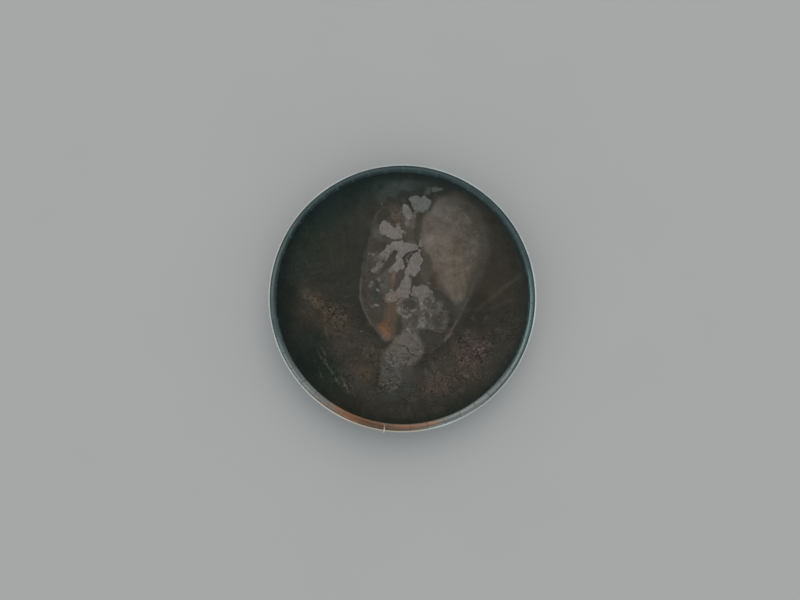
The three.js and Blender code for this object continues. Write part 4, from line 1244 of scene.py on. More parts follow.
    p.lay(0.30 * p.haze(430, 244, 5, 4), 0.415, 0.58, cool=0.5)
    p.lay(0.40 * p.haze(430, 255, 4, 4), 0.355, 0.56)
    p.lay(0.45 * p.haze(451, 291, 4.5, 6), 0.375, 0.64)
    p.lay(0.40 * p.haze(435, 210, 6, 5), 0.368, 0.50)
    p.lay(0.40 * p.haze(471, 232, 5, 5), 0.235, 0.55)
    p.lay(0.45 * p.line([(474.6, 262), (472, 274), (468.4, 283), (464.6, 291)], 3.6, 2.2), 0.262, 0.50, cool=-0.6)
    # olive gap between the film and the big island, and the dark water below the film
    p.lay(0.95 * p.inside([(421, 249), (426, 251), (430, 259), (433, 268), (434, 276), (438, 284), (441, 290), (436, 291), (429, 286), (424, 281), (420, 273), (423, 262)], 1.8),
          0.266, 0.60, 0.3, 0.09)
    p.lay(0.55 * p.line([(434, 272), (437.6, 281), (442, 289), (447, 294.6)], 4.6, 2.6), 0.258, 0.72, 0.3, 0.12)
    p.lay(0.85 * p.spot(434, 282.5, 3.4, 6, -15, 0.5), 0.222, 0.72, 0.3, 0.05)
    p.lay(0.95 * p.inside([(434, 290), (440, 291), (447, 296), (452, 301), (460, 305), (462, 310), (455, 316), (447, 312), (438, 311), (430, 306), (432, 298)], 1.8),
          0.228, 0.50, 0.3, 0.08)
    p.lay(0.7 * p.spot(440.5, 304.5, 3.2, 3.4, 0, 0.5), 0.312, 0.44)
    p.lay(0.55 * p.spot(456, 303.6, 3.6, 2.6, 10, 0.6), 0.322, 0.50)
    p.lay(0.50 * p.haze(458.4, 308.6, 4.4, 4), 0.275, 0.50)
    p.lay(0.50 * p.haze(439, 283, 3, 3.6), 0.325, 0.64)
    p.lay(0.50 * p.haze(434, 267, 2.8, 5), 0.350, 0.62)
    p.lay(0.8 * p.inside([(430, 313), (437, 311), (443, 311.5), (449, 313), (450, 321), (447, 329), (441, 330), (434, 329), (431, 321)], 2.0), 0.28, 0.56, 0.4, 0.08)
    p.lay(0.5 * p.line([(444, 314), (444.5, 322), (444, 329)], 3.4, 1.4), 0.315, 0.52)
    p.lay(0.5 * p.inside([(433, 319), (440, 318), (440, 328), (432, 327)], 1.6), 0.285, 0.44)
    p.lay(0.9 * p.inside([(419, 332), (430, 330), (440, 332), (444, 338), (438, 346), (428, 352), (422, 348)], 2.2), 0.226, 0.44, 0.2, 0.05)
    # brown water between the lumps of the loose crust
    p.lay(0.95 * p.inside([(399, 300), (409, 296), (420, 298), (431, 296), (438, 302), (440, 309), (436, 316), (433, 330), (424, 330), (414, 331), (404, 327), (399, 318), (397, 308)], 2.2),
          0.292, 0.52, 0.5, 0.16, 0.0)
    # foam plume trailing south
    p.lay(0.95 * p.inside([(399, 333), (402, 329), (409, 325), (415, 328), (418, 332), (420, 338), (424, 345), (424, 353), (421, 359), (416, 363), (408, 366), (399, 368),
                           (390, 366), (384.4, 361), (383.4, 354), (386, 349), (392, 344), (397, 340)], 3.4), 0.326, 0.54, 0.7, 0.20, 0.006)
    p.lay(0.8 * p.inside([(384, 362), (392, 359), (404, 364), (406, 374), (400, 386), (392, 392), (382, 392), (379, 382), (381, 370)], 3.4), 0.284, 0.44, 0.5, 0.26, cool=0.15)
    p.lay(0.7 * p.inside([(404, 368), (413, 371), (413, 379), (407, 383), (401, 380), (402, 373)], 3.4), 0.248, 0.44, 0.3, 0.10, cool=0.3)
    p.lay(0.7 * p.spot(406.5, 388, 6.5, 8, 0, 0.6), 0.230, 0.18, 0.2, 0.06)
    p.lay(0.45 * p.haze(383, 384, 6, 7), 0.225, 0.40, 0.4, 0.26)
    p.lay(0.7 * p.spot(392, 396.6, 10, 3.8, -6, 0.6), 0.222, 0.16, 0.2, 0.10)
    p.lay(0.45 * p.line([(382.2, 351), (381.6, 364), (382.6, 377)], 3.0, 1.6), 0.300, 0.40, 0.5, 0.06, cool=0.4)
    p.lay(0.6 * p.spot(397, 347.5, 6.5, 3.4, 0, 0.6), 0.352, 0.50, 0.7, 0.12, cool=-0.7)
    p.lay(0.7 * p.inside([(398, 338), (404, 331), (410, 330), (417, 334), (419, 341), (414, 346), (404, 346), (397, 345)], 2.4), 0.350, 0.60, 0.7, 0.18)
    p.lay(0.60 * p.haze(401, 350, 10, 6), 0.348, 0.44)
    for a, w, k in (([(399.4, 346.0), (402, 345.4), (404.8, 346)], 1.0, 0.75), ([(407.0, 348.2), (408.2, 350.4), (409.4, 352.6)], 1.2, 0.95), ([(409.4, 352.8), (412.4, 354.6), (415, 356), (418.4, 356.4)], 0.8, 0.60),
                    ([(401, 353.6), (405, 353.4), (408, 354.2)], 0.6, 0.5), ([(391, 354), (392.4, 357), (391.4, 359), (394, 361)], 0.8, 0.55), ([(395.6, 356), (398, 358.4), (400, 357.4)], 0.7, 0.55), ([(404, 357), (408, 359.0), (410, 357.4)], 0.7, 0.55),
                    ([(389.6, 365), (390.2, 367.4)], 1.6, 0.7), ([(393, 362.6), (396.4, 363.4)], 1.0, 0.4), ([(400, 366.4), (402.4, 369), (401.6, 371)], 1.0, 0.7), ([(404.6, 369), (405.8, 371)], 0.9, 0.7), ([(384, 371), (390, 370.4)], 0.7, 0.4),
                    ([(388.4, 379), (391, 377.4), (394, 376.4), (396.4, 378)], 0.8, 0.6), ([(394, 372.4), (396, 375), (397.8, 378)], 0.9, 0.7), ([(399.4, 377.4), (401, 380)], 0.9, 0.6), ([(397.4, 379.4), (399, 381.6)], 0.8, 0.6),
                    ([(383.6, 382.6), (385.6, 385.6), (386, 389), (384, 391.4), (380, 392.4), (377, 390.6), (375.6, 388)], 1.0, 0.9), ([(388.4, 391), (388.6, 387.4), (391, 384.6), (394.6, 383.4), (398.4, 384.8), (400.6, 387.6)], 1.1, 0.85),
                    ([(390.6, 389.4), (392.6, 386.8), (396, 386.4)], 0.7, 0.55), ([(380, 386.4), (382.4, 388.6)], 1.0, 0.7), ([(382.4, 378.4), (386, 380.4)], 0.7, 0.5), ([(414, 341), (418, 342)], 0.8, 0.4), ([(409.6, 337), (412, 340.4)], 0.8, 0.4),
                    ([(398.8, 333), (400.8, 335)], 0.9, 0.5), ([(411.4, 330), (413, 333)], 0.9, 0.5)):
        p.lay(k * p.line(a, w, 0.75, 0.25), 0.205, 0.5)
    for a in ([(377.6, 389), (380, 391), (384, 390)], [(386, 381), (390, 376), (397, 373)], [(387.4, 384.6), (389.8, 382.4)], [(390, 391.4), (391.6, 388.2), (396, 387.6)],
              [(402, 368), (399, 374), (401, 380)], [(388, 349.5), (396, 346.5), (404, 348)], [(397, 352), (405, 350), (411, 353)], [(391, 366), (395, 365.4), (399, 366)], [(400, 355.4), (404, 354.6), (409, 356)]):
        p.lay(0.45 * p.line(a, 1.2, 0.9, 0.4), 0.33, 0.46, 0.5)
    # tan to orange-brown stain west of the plume
    p.lay(0.85 * p.inside([(386, 301), (392, 299), (397, 302), (397.5, 312), (398, 322), (396, 332), (390, 338), (384, 330), (382, 320), (385, 310)], 3.4), 0.285, 0.77, 0.5, 0.10, cool=-0.35)
    p.lay(0.5 * p.haze(387, 322, 4, 5), 0.300, 0.90, cool=-0.5)
    p.lay(0.22 * p.line([(388.6, 302), (389.4, 312), (388.4, 324)], 1.4, 1.4), 0.335, 0.76, cool=-0.3)
    p.lay(0.22 * p.line([(393.4, 302), (393.6, 312), (394.4, 322)], 1.4, 1.4), 0.33, 0.76, cool=-0.3)
    p.lay(0.8 * p.inside([(375.4, 323), (380, 322), (386, 322), (392, 325), (394, 332), (391, 340), (386, 341), (381, 337), (377, 331)], 2.8), 0.292, 0.91, 0.5, 0.08, cool=-0.4)
    p.lay(0.8 * p.haze(382.0, 328.0, 6.0, 3.4, 42), 0.332, 0.98, 0.5, 0.06, cool=-0.4)
    p.lay(0.8 * p.haze(386.0, 334.0, 4.6, 3.0, 48), 0.350, 0.92, 0.5, 0.06, cool=0.1)
    p.lay(0.75 * p.spot(387.4, 336.6, 4.4, 3.4, 20, 0.6), 0.328, 0.88, 0.5, 0.10, cool=0.5)
    p.lay(0.70 * p.spot(395.4, 340.2, 3.0, 4.2, 30, 0.5), 0.362, 0.56, 0.6, 0.16)
    p.lay(0.75 * p.haze(382.6, 380.4, 3.4, 4.4), 0.215, 0.45)
    p.lay(0.50 * p.haze(410, 368, 4, 3), 0.305, 0.50)
    p.lay(0.50 * p.haze(370, 324, 3.6, 3), 0.282, 0.68, cool=-0.5)
    p.lay(0.50 * p.haze(416, 378, 4.4, 4.4), 0.268, 0.50)
    p.lay(0.45 * p.spot(385.6, 286, 3.0, 4.2, 0, 0.6), 0.300, 0.30, 0.4, 0.10)
    # dark liquid patches west of the islands
    p.lay(0.8 * p.inside([(371, 288), (376, 287), (380, 291), (380, 298), (376, 302), (371, 300)], 2.0), 0.236, 0.22, 0.1, 0.05)
    p.lay(0.8 * p.inside([(375, 281), (381, 283), (384, 279), (384, 285), (380, 289), (376, 286)], 1.2), 0.225, 0.28, 0.1, 0.06)
    p.lay(0.7 * p.inside([(372, 239), (381, 239), (390, 241), (388, 248), (379, 249), (372, 247)], 1.8), 0.220, 0.52, 0.2, 0.04)
    p.lay(0.75 * p.inside([(370, 310), (377, 309), (383, 311), (384, 316), (380, 322), (374, 321), (370, 316)], 1.8), 0.232, 0.62, 0.2, 0.05)
    p.lay(0.6 * p.inside([(378, 213), (386, 213), (389, 218), (382, 222), (378, 219)], 1.6), 0.21, 0.5, 0.2, 0.05)
    # tan foam lines that bound the teardrop
    west_line = [(384, 206.6), (379.6, 210.6), (376.4, 215), (374, 219.4), (372.4, 224.6)]
    p.lay(0.5 * p.line(west_line, 1.0, 0.8), 0.295, 0.58, 0.5)
    p.lay(0.45 * p.line([(370, 236), (368.8, 241), (368.2, 246.6)], 1.1, 0.8), 0.275, 0.6, 0.5)
    p.lay(0.55 * p.line([(366.4, 251), (365, 257), (363.6, 264), (362.2, 271), (361.2, 279)], 1.3, 0.9), 0.285, 0.56, 0.5)
    p.lay(0.8 * p.line([(361, 279), (360.4, 286), (360.3, 293), (360.9, 300), (362.6, 306), (364.8, 311.4), (367.2, 316.6), (370.2, 321.6)], 1.5, 0.9, 0.2), 0.315, 0.58, 0.6, 0.03, 0.012)
    p.lay(0.6 * p.line([(370.2, 321.6), (374.4, 327), (378.6, 331.6), (383, 336.4), (387, 339.8)], 1.8, 1.1, 0.2), 0.30, 0.66, 0.5, 0.03, 0.01)
    p.lay(0.7 * p.line([(366.6, 250), (365.4, 262), (364.4, 276), (363.8, 290), (364.6, 300)], 1.5, 0.9), 0.215, 0.62)
    p.lay(0.45 * p.line([(368.4, 251), (367.2, 262), (366.6, 272), (366.0, 284)], 1.1, 0.8), 0.288, 0.60, 0.5)
    p.lay(0.6 * p.line([(360.4, 281), (364, 280.8), (367.6, 280.8)], 0.7, 0.5), 0.30, 0.55)
    p.lay(0.4 * p.line([(361, 286.8), (367.4, 286.8)], 0.6, 0.5), 0.29, 0.55)
    p.lay(0.5 * p.line([(372, 236.6), (378, 237)], 0.8, 0.6), 0.29, 0.56)
    east_line = [(476.4, 277), (473.8, 284.6), (471.2, 291), (468.6, 297.6), (465.6, 303.6), (463, 308.8), (461.2, 313.6)]
    worn = 0.35 + 0.65 * smooth(0.38, 0.60, fbm(p.x / 3.0, p.y / 3.0, 1602, 2))
    p.lay(0.75 * worn * smooth(276, 292, p.y) * p.line(east_line, 1.3, 1.0, 0.6), 0.305, 0.50, 0.5, cool=-0.3)
    p.lay(0.45 * smooth(282, 296, p.y) * p.line([(471.4, 284), (467.4, 293), (464.4, 300), (461.2, 307)], 1.0, 0.8, 0.6), 0.285, 0.60, 0.5)
    p.lay(0.75 * worn * p.line([(461.2, 313.6), (459.4, 317.6), (456.6, 321.6), (454.2, 326), (451.8, 330.4)], 1.5, 0.9, 0.6), 0.325, 0.62, 0.5)
    p.lay(0.60 * p.line([(451.8, 329), (449, 332.4), (446.4, 334.6)], 2.2, 1.2, 0.5), 0.275, 0.78, 0.5)
    p.lay(0.55 * p.line([(451.6, 333.6), (448.4, 336), (445.4, 340.6)], 2.0, 1.0, 0.5), 0.35, 0.60, 0.6, 0.05)
    p.lay(0.75 * worn * p.line([(451, 333), (447.6, 336.4), (444.4, 340), (440.6, 344.4), (436.6, 347.8), (433.0, 350.2)], 1.5, 0.9, 0.6), 0.325, 0.58, 0.5, 0.03, 0.01)
    p.lay(0.4 * p.line([(473, 282), (471, 289), (470.6, 295)], 1.0, 0.8), 0.29, 0.45)
    p.lay(0.7 * p.line([(432.6, 330), (437.6, 331), (442.6, 332.2)], 1.3, 0.8), 0.33, 0.42)
    p.lay(0.6 * p.line([(467, 284), (464.6, 289), (464.2, 295)], 0.9, 0.8), 0.345, 0.5)
    # long faint arcs in the east, and short ones in the south-west
    p.lay(0.42 * p.line([(521, 275.5), (510, 283), (500, 291), (491, 298.6), (482, 306), (477, 309.6)], 3.2, 2.0, 0.2), 0.25, 0.66)
    p.lay(0.30 * p.line([(512, 300), (500, 305), (491, 309), (484, 311)], 3.0, 1.8, 0.2), 0.235, 0.5)
    broken = 0.30 + 0.70 * smooth(0.36, 0.60, fbm(p.x / 2.6, p.y / 2.6, 1601, 2))
    for a, w, k, hue in (([(321.4, 358.2), (325.4, 360.2), (327.2, 363.4)], 1.4, 1.00, 0.46), ([(324.2, 362.4), (326.4, 365), (328.6, 368.4), (331.2, 371.2), (332.4, 373.4)], 1.2, 0.80, 0.40),
                         ([(334.6, 377.4), (337.6, 379)], 1.4, 0.55, 0.36), ([(336.2, 380), (338, 382.4), (339.4, 385)], 1.7, 0.75, 0.36), ([(341.2, 378.6), (343.6, 381.4), (344.4, 384)], 1.5, 0.80, 0.44),
                         ([(344.8, 384), (347, 387.6), (348.8, 391.6)], 1.7, 0.85, 0.46), ([(340.4, 384.4), (342.4, 387)], 1.2, 0.5, 0.40), ([(352.6, 384), (353.8, 387)], 1.3, 0.45, 0.50),
                         ([(319.4, 344.6), (321.4, 348.6)], 1.7, 0.55, 0.36), ([(321.8, 348.6), (324.8, 354.2)], 1.9, 0.70, 0.36), ([(316.4, 349.6), (318.4, 353.4), (320.8, 357)], 1.3, 0.60, 0.34),
                         ([(318.8, 367.6), (320.2, 371.4), (322.4, 377)], 1.1, 0.55, 0.25), ([(315, 360.6), (317.4, 363)], 1.2, 0.4, 0.2), ([(342.6, 353.6), (344.6, 357), (346.6, 360.6)], 1.3, 0.45, 0.45),
                         ([(331, 333.2), (340, 334.6), (348, 335.6)], 1.0, 0.55, 0.56), ([(333, 329), (340, 329.4), (347, 329)], 1.0, 0.40, 0.58), ([(331, 326), (331.4, 334)], 0.9, 0.40, 0.58),
                         ([(371.6, 344.6), (373.2, 350)], 1.2, 0.35, 0.6), ([(333, 353), (338, 357), (341, 358.6)], 1.6, 0.25, 0.5), ([(324.6, 327), (326.4, 333), (328, 340)], 1.6, 0.45, 0.6)):
        p.lay(0.85 * k * broken * p.line(a, w, 0.9, 0.9), 0.29, hue, 0.4)
    # small dark holes in the western scum
    for c in ((351, 347.4, 0.7), (350, 351, 0.6), (346.9, 349, 0.6), (349, 358.4, 0.7), (357.9, 360.5, 0.7), (354.8, 354.2, 0.6), (361, 344.7, 0.7), (363.4, 340.4, 0.9), (366, 340.8, 0.8), (356.9, 342.6, 0.7),
              (364, 336, 0.9), (368, 335, 0.8), (341, 339, 0.5), (358, 349, 0.6), (338, 319, 0.8), (343.6, 326, 0.8), (347.4, 330.6, 0.6), (336.4, 324.6, 0.7)):
        p.lay(0.6 * p.spot(c[0], c[1], c[2], c[2], 0, 0.8), 0.165, 0.40)
    for c in ((486.4, 317.6, 2.0, 1.3), (497.6, 329, 2.0, 1.6), (484, 322.6, 3.0, 1.0), (467, 331.6, 3.0, 2.0), (501.6, 315.8, 1.4, 1.2), (472.8, 318, 1.5, 2.4), (430.6, 352, 2.4, 1.6),
              (433, 365, 2.6, 5.0), (426, 372, 2.0, 4.0), (452, 347.6, 1.8, 1.4), (341, 310.4, 3.4, 1.6), (333.6, 308.6, 1.4, 1.4), (328.6, 310, 1.0, 2.0), (348, 296, 2.4, 1.2), (342, 322.6, 1.8, 1.4)):
        p.lay(0.32 * p.spot(*c, -20, 0.8), 0.30, 0.45, 0.5)
    p.lay(0.5 * p.line([(443, 331.6), (446.4, 330.2), (449.4, 328)], 2.4, 1.2), 0.262, 0.80)

    # scum between the islands
    p.lay(0.7 * p.inside([(372, 262), (378, 256), (386, 262), (390, 272), (388, 284), (384, 292), (380, 282), (374, 276)], 3.0), 0.282, 0.56, 0.3, 0.18)
    p.lay(0.8 * p.inside([(384, 264), (389, 273), (389, 292), (384, 298), (380, 292), (383, 280)], 2.2), 0.29, 0.60, 0.3, 0.12)
    p.lay(0.7 * p.inside([(397, 270), (403, 270), (408, 276), (412, 282), (412, 292), (404, 296), (396, 292), (396, 280)], 2.6), 0.28, 0.56, 0.3, 0.10)
    p.lay(0.6 * p.inside([(412, 276), (421, 268), (428, 282), (432, 292), (424, 292), (414, 288)], 2.6), 0.285, 0.54, 0.3, 0.14)
    p.lay(0.6 * p.inside([(376, 226), (382, 236), (392, 240), (404, 240), (404, 244), (388, 244), (374, 238)], 2.2), 0.262, 0.56, 0.3, 0.08)
    p.lay(0.5 * p.inside([(389, 212), (394, 208), (402, 210), (402, 224), (392, 222)], 2.6), 0.268, 0.62, 0.3, 0.10)
    p.lay(0.85 * p.inside([(375, 222), (378, 214), (382, 208), (388, 207), (390.6, 211), (389.6, 218), (384, 220), (378, 222.6)], 1.6), 0.206, 0.50, 0.2, 0.06)
    p.lay(0.75 * p.inside([(372, 230), (377, 228.6), (380.6, 232), (384, 238), (384, 240), (376, 239.4), (372, 236)], 2.0), 0.298, 0.50, 0.3, 0.22, cool=-0.1)
    p.lay(0.6 * p.haze(376, 239.4, 4.4, 2.4), 0.215, 0.50)
    p.lay(0.5 * p.haze(375.6, 257, 5, 4), 0.325, 0.50)
    # crust: the row of tan lumps and the grey islands, north to south
    p.lay(0.9 * p.inside([(401, 212), (408, 211), (416, 213), (417, 222), (416, 229), (410, 231), (404, 227)], 1.8), 0.292, 0.6, 0.3, 0.12)
    p.lay(0.9 * p.inside([(402, 226), (408, 226), (415, 227), (416, 236), (415, 245), (408, 243), (403, 240)], 2.0), 0.262, 0.60, 0.3, 0.06)
    p.lay(0.6 * p.spot(412, 242, 4, 1.8, 0, 0.5), 0.305, 0.58)
    p.crust([(402.6, 213), (407, 212), (411.6, 213.6), (414, 216.4), (412.4, 220), (408, 221.4), (405, 219)], 0.385, 0.58, 0.16, 0.02, 0.92)
    p.crust([(405.4, 221.6), (408.6, 220.4), (411, 222.6), (410.4, 226.4), (407, 227), (405, 224.6)], 0.372, 0.50, 0.14, 0.01, 0.84)
    p.crust([(404.4, 231), (405.8, 230), (407.8, 232.4), (407, 235.4), (404.6, 235.6)], 0.345, 0.54, 0.10, 0.01, 0.75)
    p.crust([(409.6, 222.4), (413, 220.6), (416, 223), (415.4, 228), (411.4, 228.6), (409.8, 226)], 0.335, 0.6, 0.12, 0.01, 0.80)
    p.crust([(413.4, 214), (417, 213.4), (417.4, 218), (414.4, 219.4)], 0.335, 0.60, 0.08, 0.01, 0.8)
    p.crust([(391, 217), (393, 213), (397, 211.5), (401, 212.5), (401, 219), (401, 224.5), (396, 226), (393.5, 222), (391.5, 220)], 0.302, 0.68, 0.09, 0.01, 0.9, 2.6)
    p.shade(0.6 * p.spot(397.6, 221.6, 3.2, 3.0), 0.262, 0.76)
    p.crust([(401.3, 213), (402.3, 206), (405, 203.5), (408.5, 206), (411, 209.5), (412, 213), (408, 215), (404, 215)], 0.385, 0.45, 0.10)
    p.shade(0.5 * p.spot(409.4, 208.8, 1.6, 1.6), 0.33, 0.5)
    p.crust([(414.5, 211.4), (424, 211.2), (424, 213.2), (415, 213.4)], 0.35, 0.60, 0.05, full=0.85)
    p.crust([(408.6, 199.5), (411, 197.2), (414, 195.6), (417.6, 195.2), (420, 197.6), (422, 196.2), (425, 195.2), (427.6, 198), (431.5, 200), (432, 203.5), (430.4, 207.2),
             (428, 209.6), (424, 211.5), (417.6, 211.5), (414, 210.8), (411.8, 207.5), (410.6, 203)], 0.358, 0.34, 0.08, cool=0.15)
    p.shade(0.5 * p.spot(416.5, 205, 1.2, 3.0), 0.32, 0.3)
    p.shade(0.4 * p.spot(413.6, 200, 2.6, 1.8), 0.385)
    p.open(0.6 * p.spot(411.6, 207.6, 1.2, 1.6), 0.24, 0.5)
    p.crust([(379.0, 227), (380.2, 223.2), (383.6, 220.6), (388, 221.8), (391.6, 224.0), (394.2, 227.6), (396, 225.6), (399.6, 225.6), (401.8, 229), (402.8, 234.5), (401.6, 239),
             (396, 240.0), (391, 238.8), (388.4, 236.8), (385, 237.2), (381.4, 234.4), (379.4, 231)], 0.412, 0.50, 0.10)
    p.shade(0.7 * p.inside([(382, 224), (386, 222.5), (391, 226), (392, 231), (388, 234), (383, 230)], 1.8), 0.418, 0.62)
    p.shade(0.6 * p.spot(381.6, 226.4, 1.3, 1.7), 0.345, 0.55)
    p.shade(0.45 * p.line([(387.4, 223.6), (387.6, 230.6)], 0.8, 0.5), 0.36, 0.5)
    p.shade(0.35 * p.line([(393.8, 229.4), (393.4, 237)], 0.9, 0.6), 0.37, 0.5)
    p.crust([(391.4, 248.2), (394, 250.6), (391, 254.4), (388.2, 258.6), (385, 262.8), (380.8, 267.4), (376.4, 271.8), (372, 273.6), (370.8, 269.4), (374.5, 264.6), (377.8, 261.2), (378.6, 258.4),
             (377, 256.0), (380.0, 252.4), (384.5, 249.6)], 0.382, 0.52, 0.17, 0.025, 0.88)
    p.shade(0.7 * p.spot(387, 252.0, 4.5, 2.2, -25), 0.408, 0.50)
    p.shade(0.7 * p.spot(377.6, 263.4, 2.6, 1.8, -40), 0.402, 0.48)
    p.shade(0.7 * p.spot(383.2, 260.6, 1.6, 2.4, 30), 0.305, 0.5)
    p.crust([(390.0, 244), (392.6, 240.9), (397, 239.8), (401, 240.2), (405, 241.8), (409, 242.4), (413.3, 243.6), (417.4, 244.6), (418.6, 247), (416.4, 249.4), (411.6, 250.6), (407.0, 252.5),
             (403.6, 255.4), (402.6, 259), (404, 263), (403.8, 267), (401, 269.7), (397, 271.4), (394.4, 273.4), (388.6, 273.4), (388.6, 269), (391, 265.5), (394.6, 263.5), (395.4, 259), (396.0, 255),
             (397, 251.6), (394.4, 250.4), (390.6, 249.6), (389.8, 246.8)], 0.405, 0.52, 0.09, full=1.0)
    p.shade(0.75 * p.inside([(390, 244), (394, 241.6), (401, 241), (402, 248), (394, 249), (391, 248)], 1.6), 0.436, 0.56)
    p.shade(0.6 * p.spot(415.6, 246.8, 2.2, 1.6), 0.362, 0.56)
    p.shade(0.8 * p.inside([(388.6, 272.6), (389.6, 266.5), (395, 264), (397.5, 267), (397, 271)], 1.2), 0.432, 0.38, -0.2)
    p.crust([(417.4, 240.4), (420.6, 239.6), (422.6, 242), (422.2, 246.6), (418.8, 246.4)], 0.385, 0.56, 0.08, 0.01, 0.92)
    p.crust([(413.9, 253.0), (417.4, 251.2), (420.2, 253.8), (421.4, 257), (423.2, 259.6), (421.8, 264), (420.2, 269), (417.8, 273.6), (415.2, 277), (412.4, 276.2), (409.6, 274.6), (409.2, 276.8),
             (411.4, 279), (411.8, 282.4), (410.6, 286), (409.6, 289), (411.4, 292.6), (410.2, 297.2), (405, 299.4), (399, 299.2), (395, 299.2), (391.6, 297.0), (394.0, 292.6), (397.0, 289.4),
             (399.4, 286), (400.4, 281.6), (403, 277.4), (404.2, 272), (406.2, 267.6), (407.6, 262.4), (409.4, 258.6), (411.6, 256)], 0.396, 0.55, 0.10, full=1.0)
    p.shade(0.6 * p.spot(404.4, 286.4, 4.0, 4.4), 0.394, 0.45)
    p.shade(0.7 * p.inside([(392, 296), (395, 291), (400, 290), (406, 289.5), (409.6, 292), (407, 297), (400, 298)], 1.6), 0.388, 0.66)
    p.shade(0.5 * p.spot(411, 275, 2.6, 1.6, 30), 0.345, 0.55)
    p.crust([(383.4, 300), (385.4, 294.6), (389, 293), (395, 295.6), (397.4, 300), (393, 302.6), (387, 303.4), (384, 303)], 0.366, 0.64, 0.18, 0.015, 0.85, 1.8)
    p.crust([(410.4, 291), (411.4, 287.4), (413.4, 284.8), (416.5, 286.8), (420, 285.2), (424, 284.2), (428, 286.2), (431.6, 289.4), (434.2, 291.2), (434.0, 294.4), (430, 296.4), (425.4, 298.8), (420.6, 300.4),
             (415.8, 299.0), (412.2, 295.2)], 0.384, 0.54, 0.10, full=0.95)
    p.shade(0.5 * p.spot(426.5, 294.6, 1.8, 1.0, -20), 0.32, 0.5)
    p.shade(0.5 * p.spot(431.4, 288.4, 1.2, 1.4), 0.28, 0.5)
    p.crust([(426.6, 281.6), (429.4, 280.6), (430.6, 284), (428, 284.8)], 0.335, 0.5, 0.08, 0.01, 0.8)
    # small flakes west of the islands
    for cx, cy, rx, ry, tone in ((381.5, 204, 1.2, 1.5, 0.31), (365, 253.5, 1.6, 1.1, 0.33), (370.5, 253.5, 3.2, 1.5, 0.345), (375, 259, 2.8, 1.1, 0.34), (379, 279.4, 2.4, 2.6, 0.375), (377.9, 290.0, 2.3, 1.9, 0.40),
                                 (371.8, 282.4, 2.4, 2.8, 0.340), (370.8, 286.4, 2.8, 2.2, 0.33), (375.6, 305, 3.8, 1.8, 0.385), (372, 307.4, 2.6, 1.2, 0.34), (382.6, 284.6, 2.0, 2.8, 0.345), (361, 331.5, 1.1, 1.0, 0.33),
                                 (366.4, 328.2, 0.8, 0.7, 0.27), (383.4, 275, 1.5, 2.0, 0.32), (378.5, 259, 1.2, 1.0, 0.34), (380.6, 271.4, 1.8, 1.4, 0.33), (386.4, 287.6, 1.4, 2.2, 0.31), (366.6, 310, 1.6, 1.4, 0.30)):
        p.crust([(cx + rx * math.cos(k * 0.7), cy + ry * math.sin(k * 0.7)) for k in range(9)], tone, 0.42, 0.12, 0.015, 0.80, 1.2)
    # separate pieces of the loose crust
    for pts, tone, hue in (
        ([(415.6, 324), (419, 321), (424, 320.3), (428.4, 321), (432, 324), (435, 328), (430, 329.6), (424, 329.7), (418, 328.2)], 0.366, 0.50),
        ([(400.4, 315.0), (403, 313.4), (407.4, 315.6), (408.6, 319.4), (403.0, 319.8)], 0.415, 0.54),
        ([(406.6, 314.6), (409.4, 311.6), (415, 309.6), (417.4, 312.0), (413, 314.6), (409, 316.2)], 0.362, 0.46),
        ([(423.2, 305), (427.4, 304.4), (429.2, 311.8), (425, 313.4), (423.4, 310)], 0.368, 0.56),
        ([(417.8, 298), (423, 298.6), (424.4, 304), (422.4, 309), (418.4, 310.0), (417.8, 304)], 0.366, 0.54),
        ([(395.0, 301.6), (399, 300.4), (401.0, 306), (401.4, 313), (398, 315), (395.0, 311.6)], 0.372, 0.60),
        ([(428.6, 296.0), (435.4, 296.6), (436.4, 302), (429.8, 303)], 0.385, 0.60),
        ([(436.4, 303), (440.6, 301.6), (442.6, 306), (438.6, 310.0)], 0.325, 0.42),
        ([(404.4, 326.6), (408.4, 323), (411.6, 326.6), (408, 332), (403, 332)], 0.352, 0.52),
        ([(411, 336), (414.6, 332.4), (418.4, 336), (418, 340), (413, 340)], 0.345, 0.52),
        ([(430.6, 309.6), (439, 308.4), (447, 310.4), (449, 312.6), (440, 311.6), (431, 311.4)], 0.32, 0.44),
        ([(419.4, 313.6), (424.4, 312.6), (426.4, 318), (424, 321.6), (420.4, 319)], 0.352, 0.54),
        ([(401.6, 308.8), (407, 308.4), (409.6, 312.0), (405.6, 314.2), (402, 313.4)], 0.350, 0.52),
        ([(419, 307.6), (424, 306.8), (430, 307.8), (430.4, 311.4), (422, 312), (417.4, 311.4)], 0.352, 0.52),
        ([(405.6, 319.6), (410, 319.0), (412.4, 322.6), (409, 325.6), (405.6, 324.4)], 0.325, 0.54),
        ([(429.6, 311.6), (433.0, 311.6), (434, 315.6), (431, 318.4), (429.0, 316)], 0.315, 0.50),
        ([(398.6, 298.6), (404, 299), (404.6, 302.4), (400, 303.4)], 0.355, 0.62),
        ([(412.4, 300.6), (415.4, 297.6), (418, 300), (417.4, 304.4), (414.6, 303.6)], 0.315, 0.5),
        ([(441, 316), (446, 315), (447, 322), (444.4, 329), (441.6, 329)], 0.30, 0.48),
        ([(427, 322.6), (433, 325.6), (434.6, 329.6), (428, 330)], 0.322, 0.48),
    ):
        p.crust(pts, tone, hue, 0.12, 0.02, 0.86, 2.0)
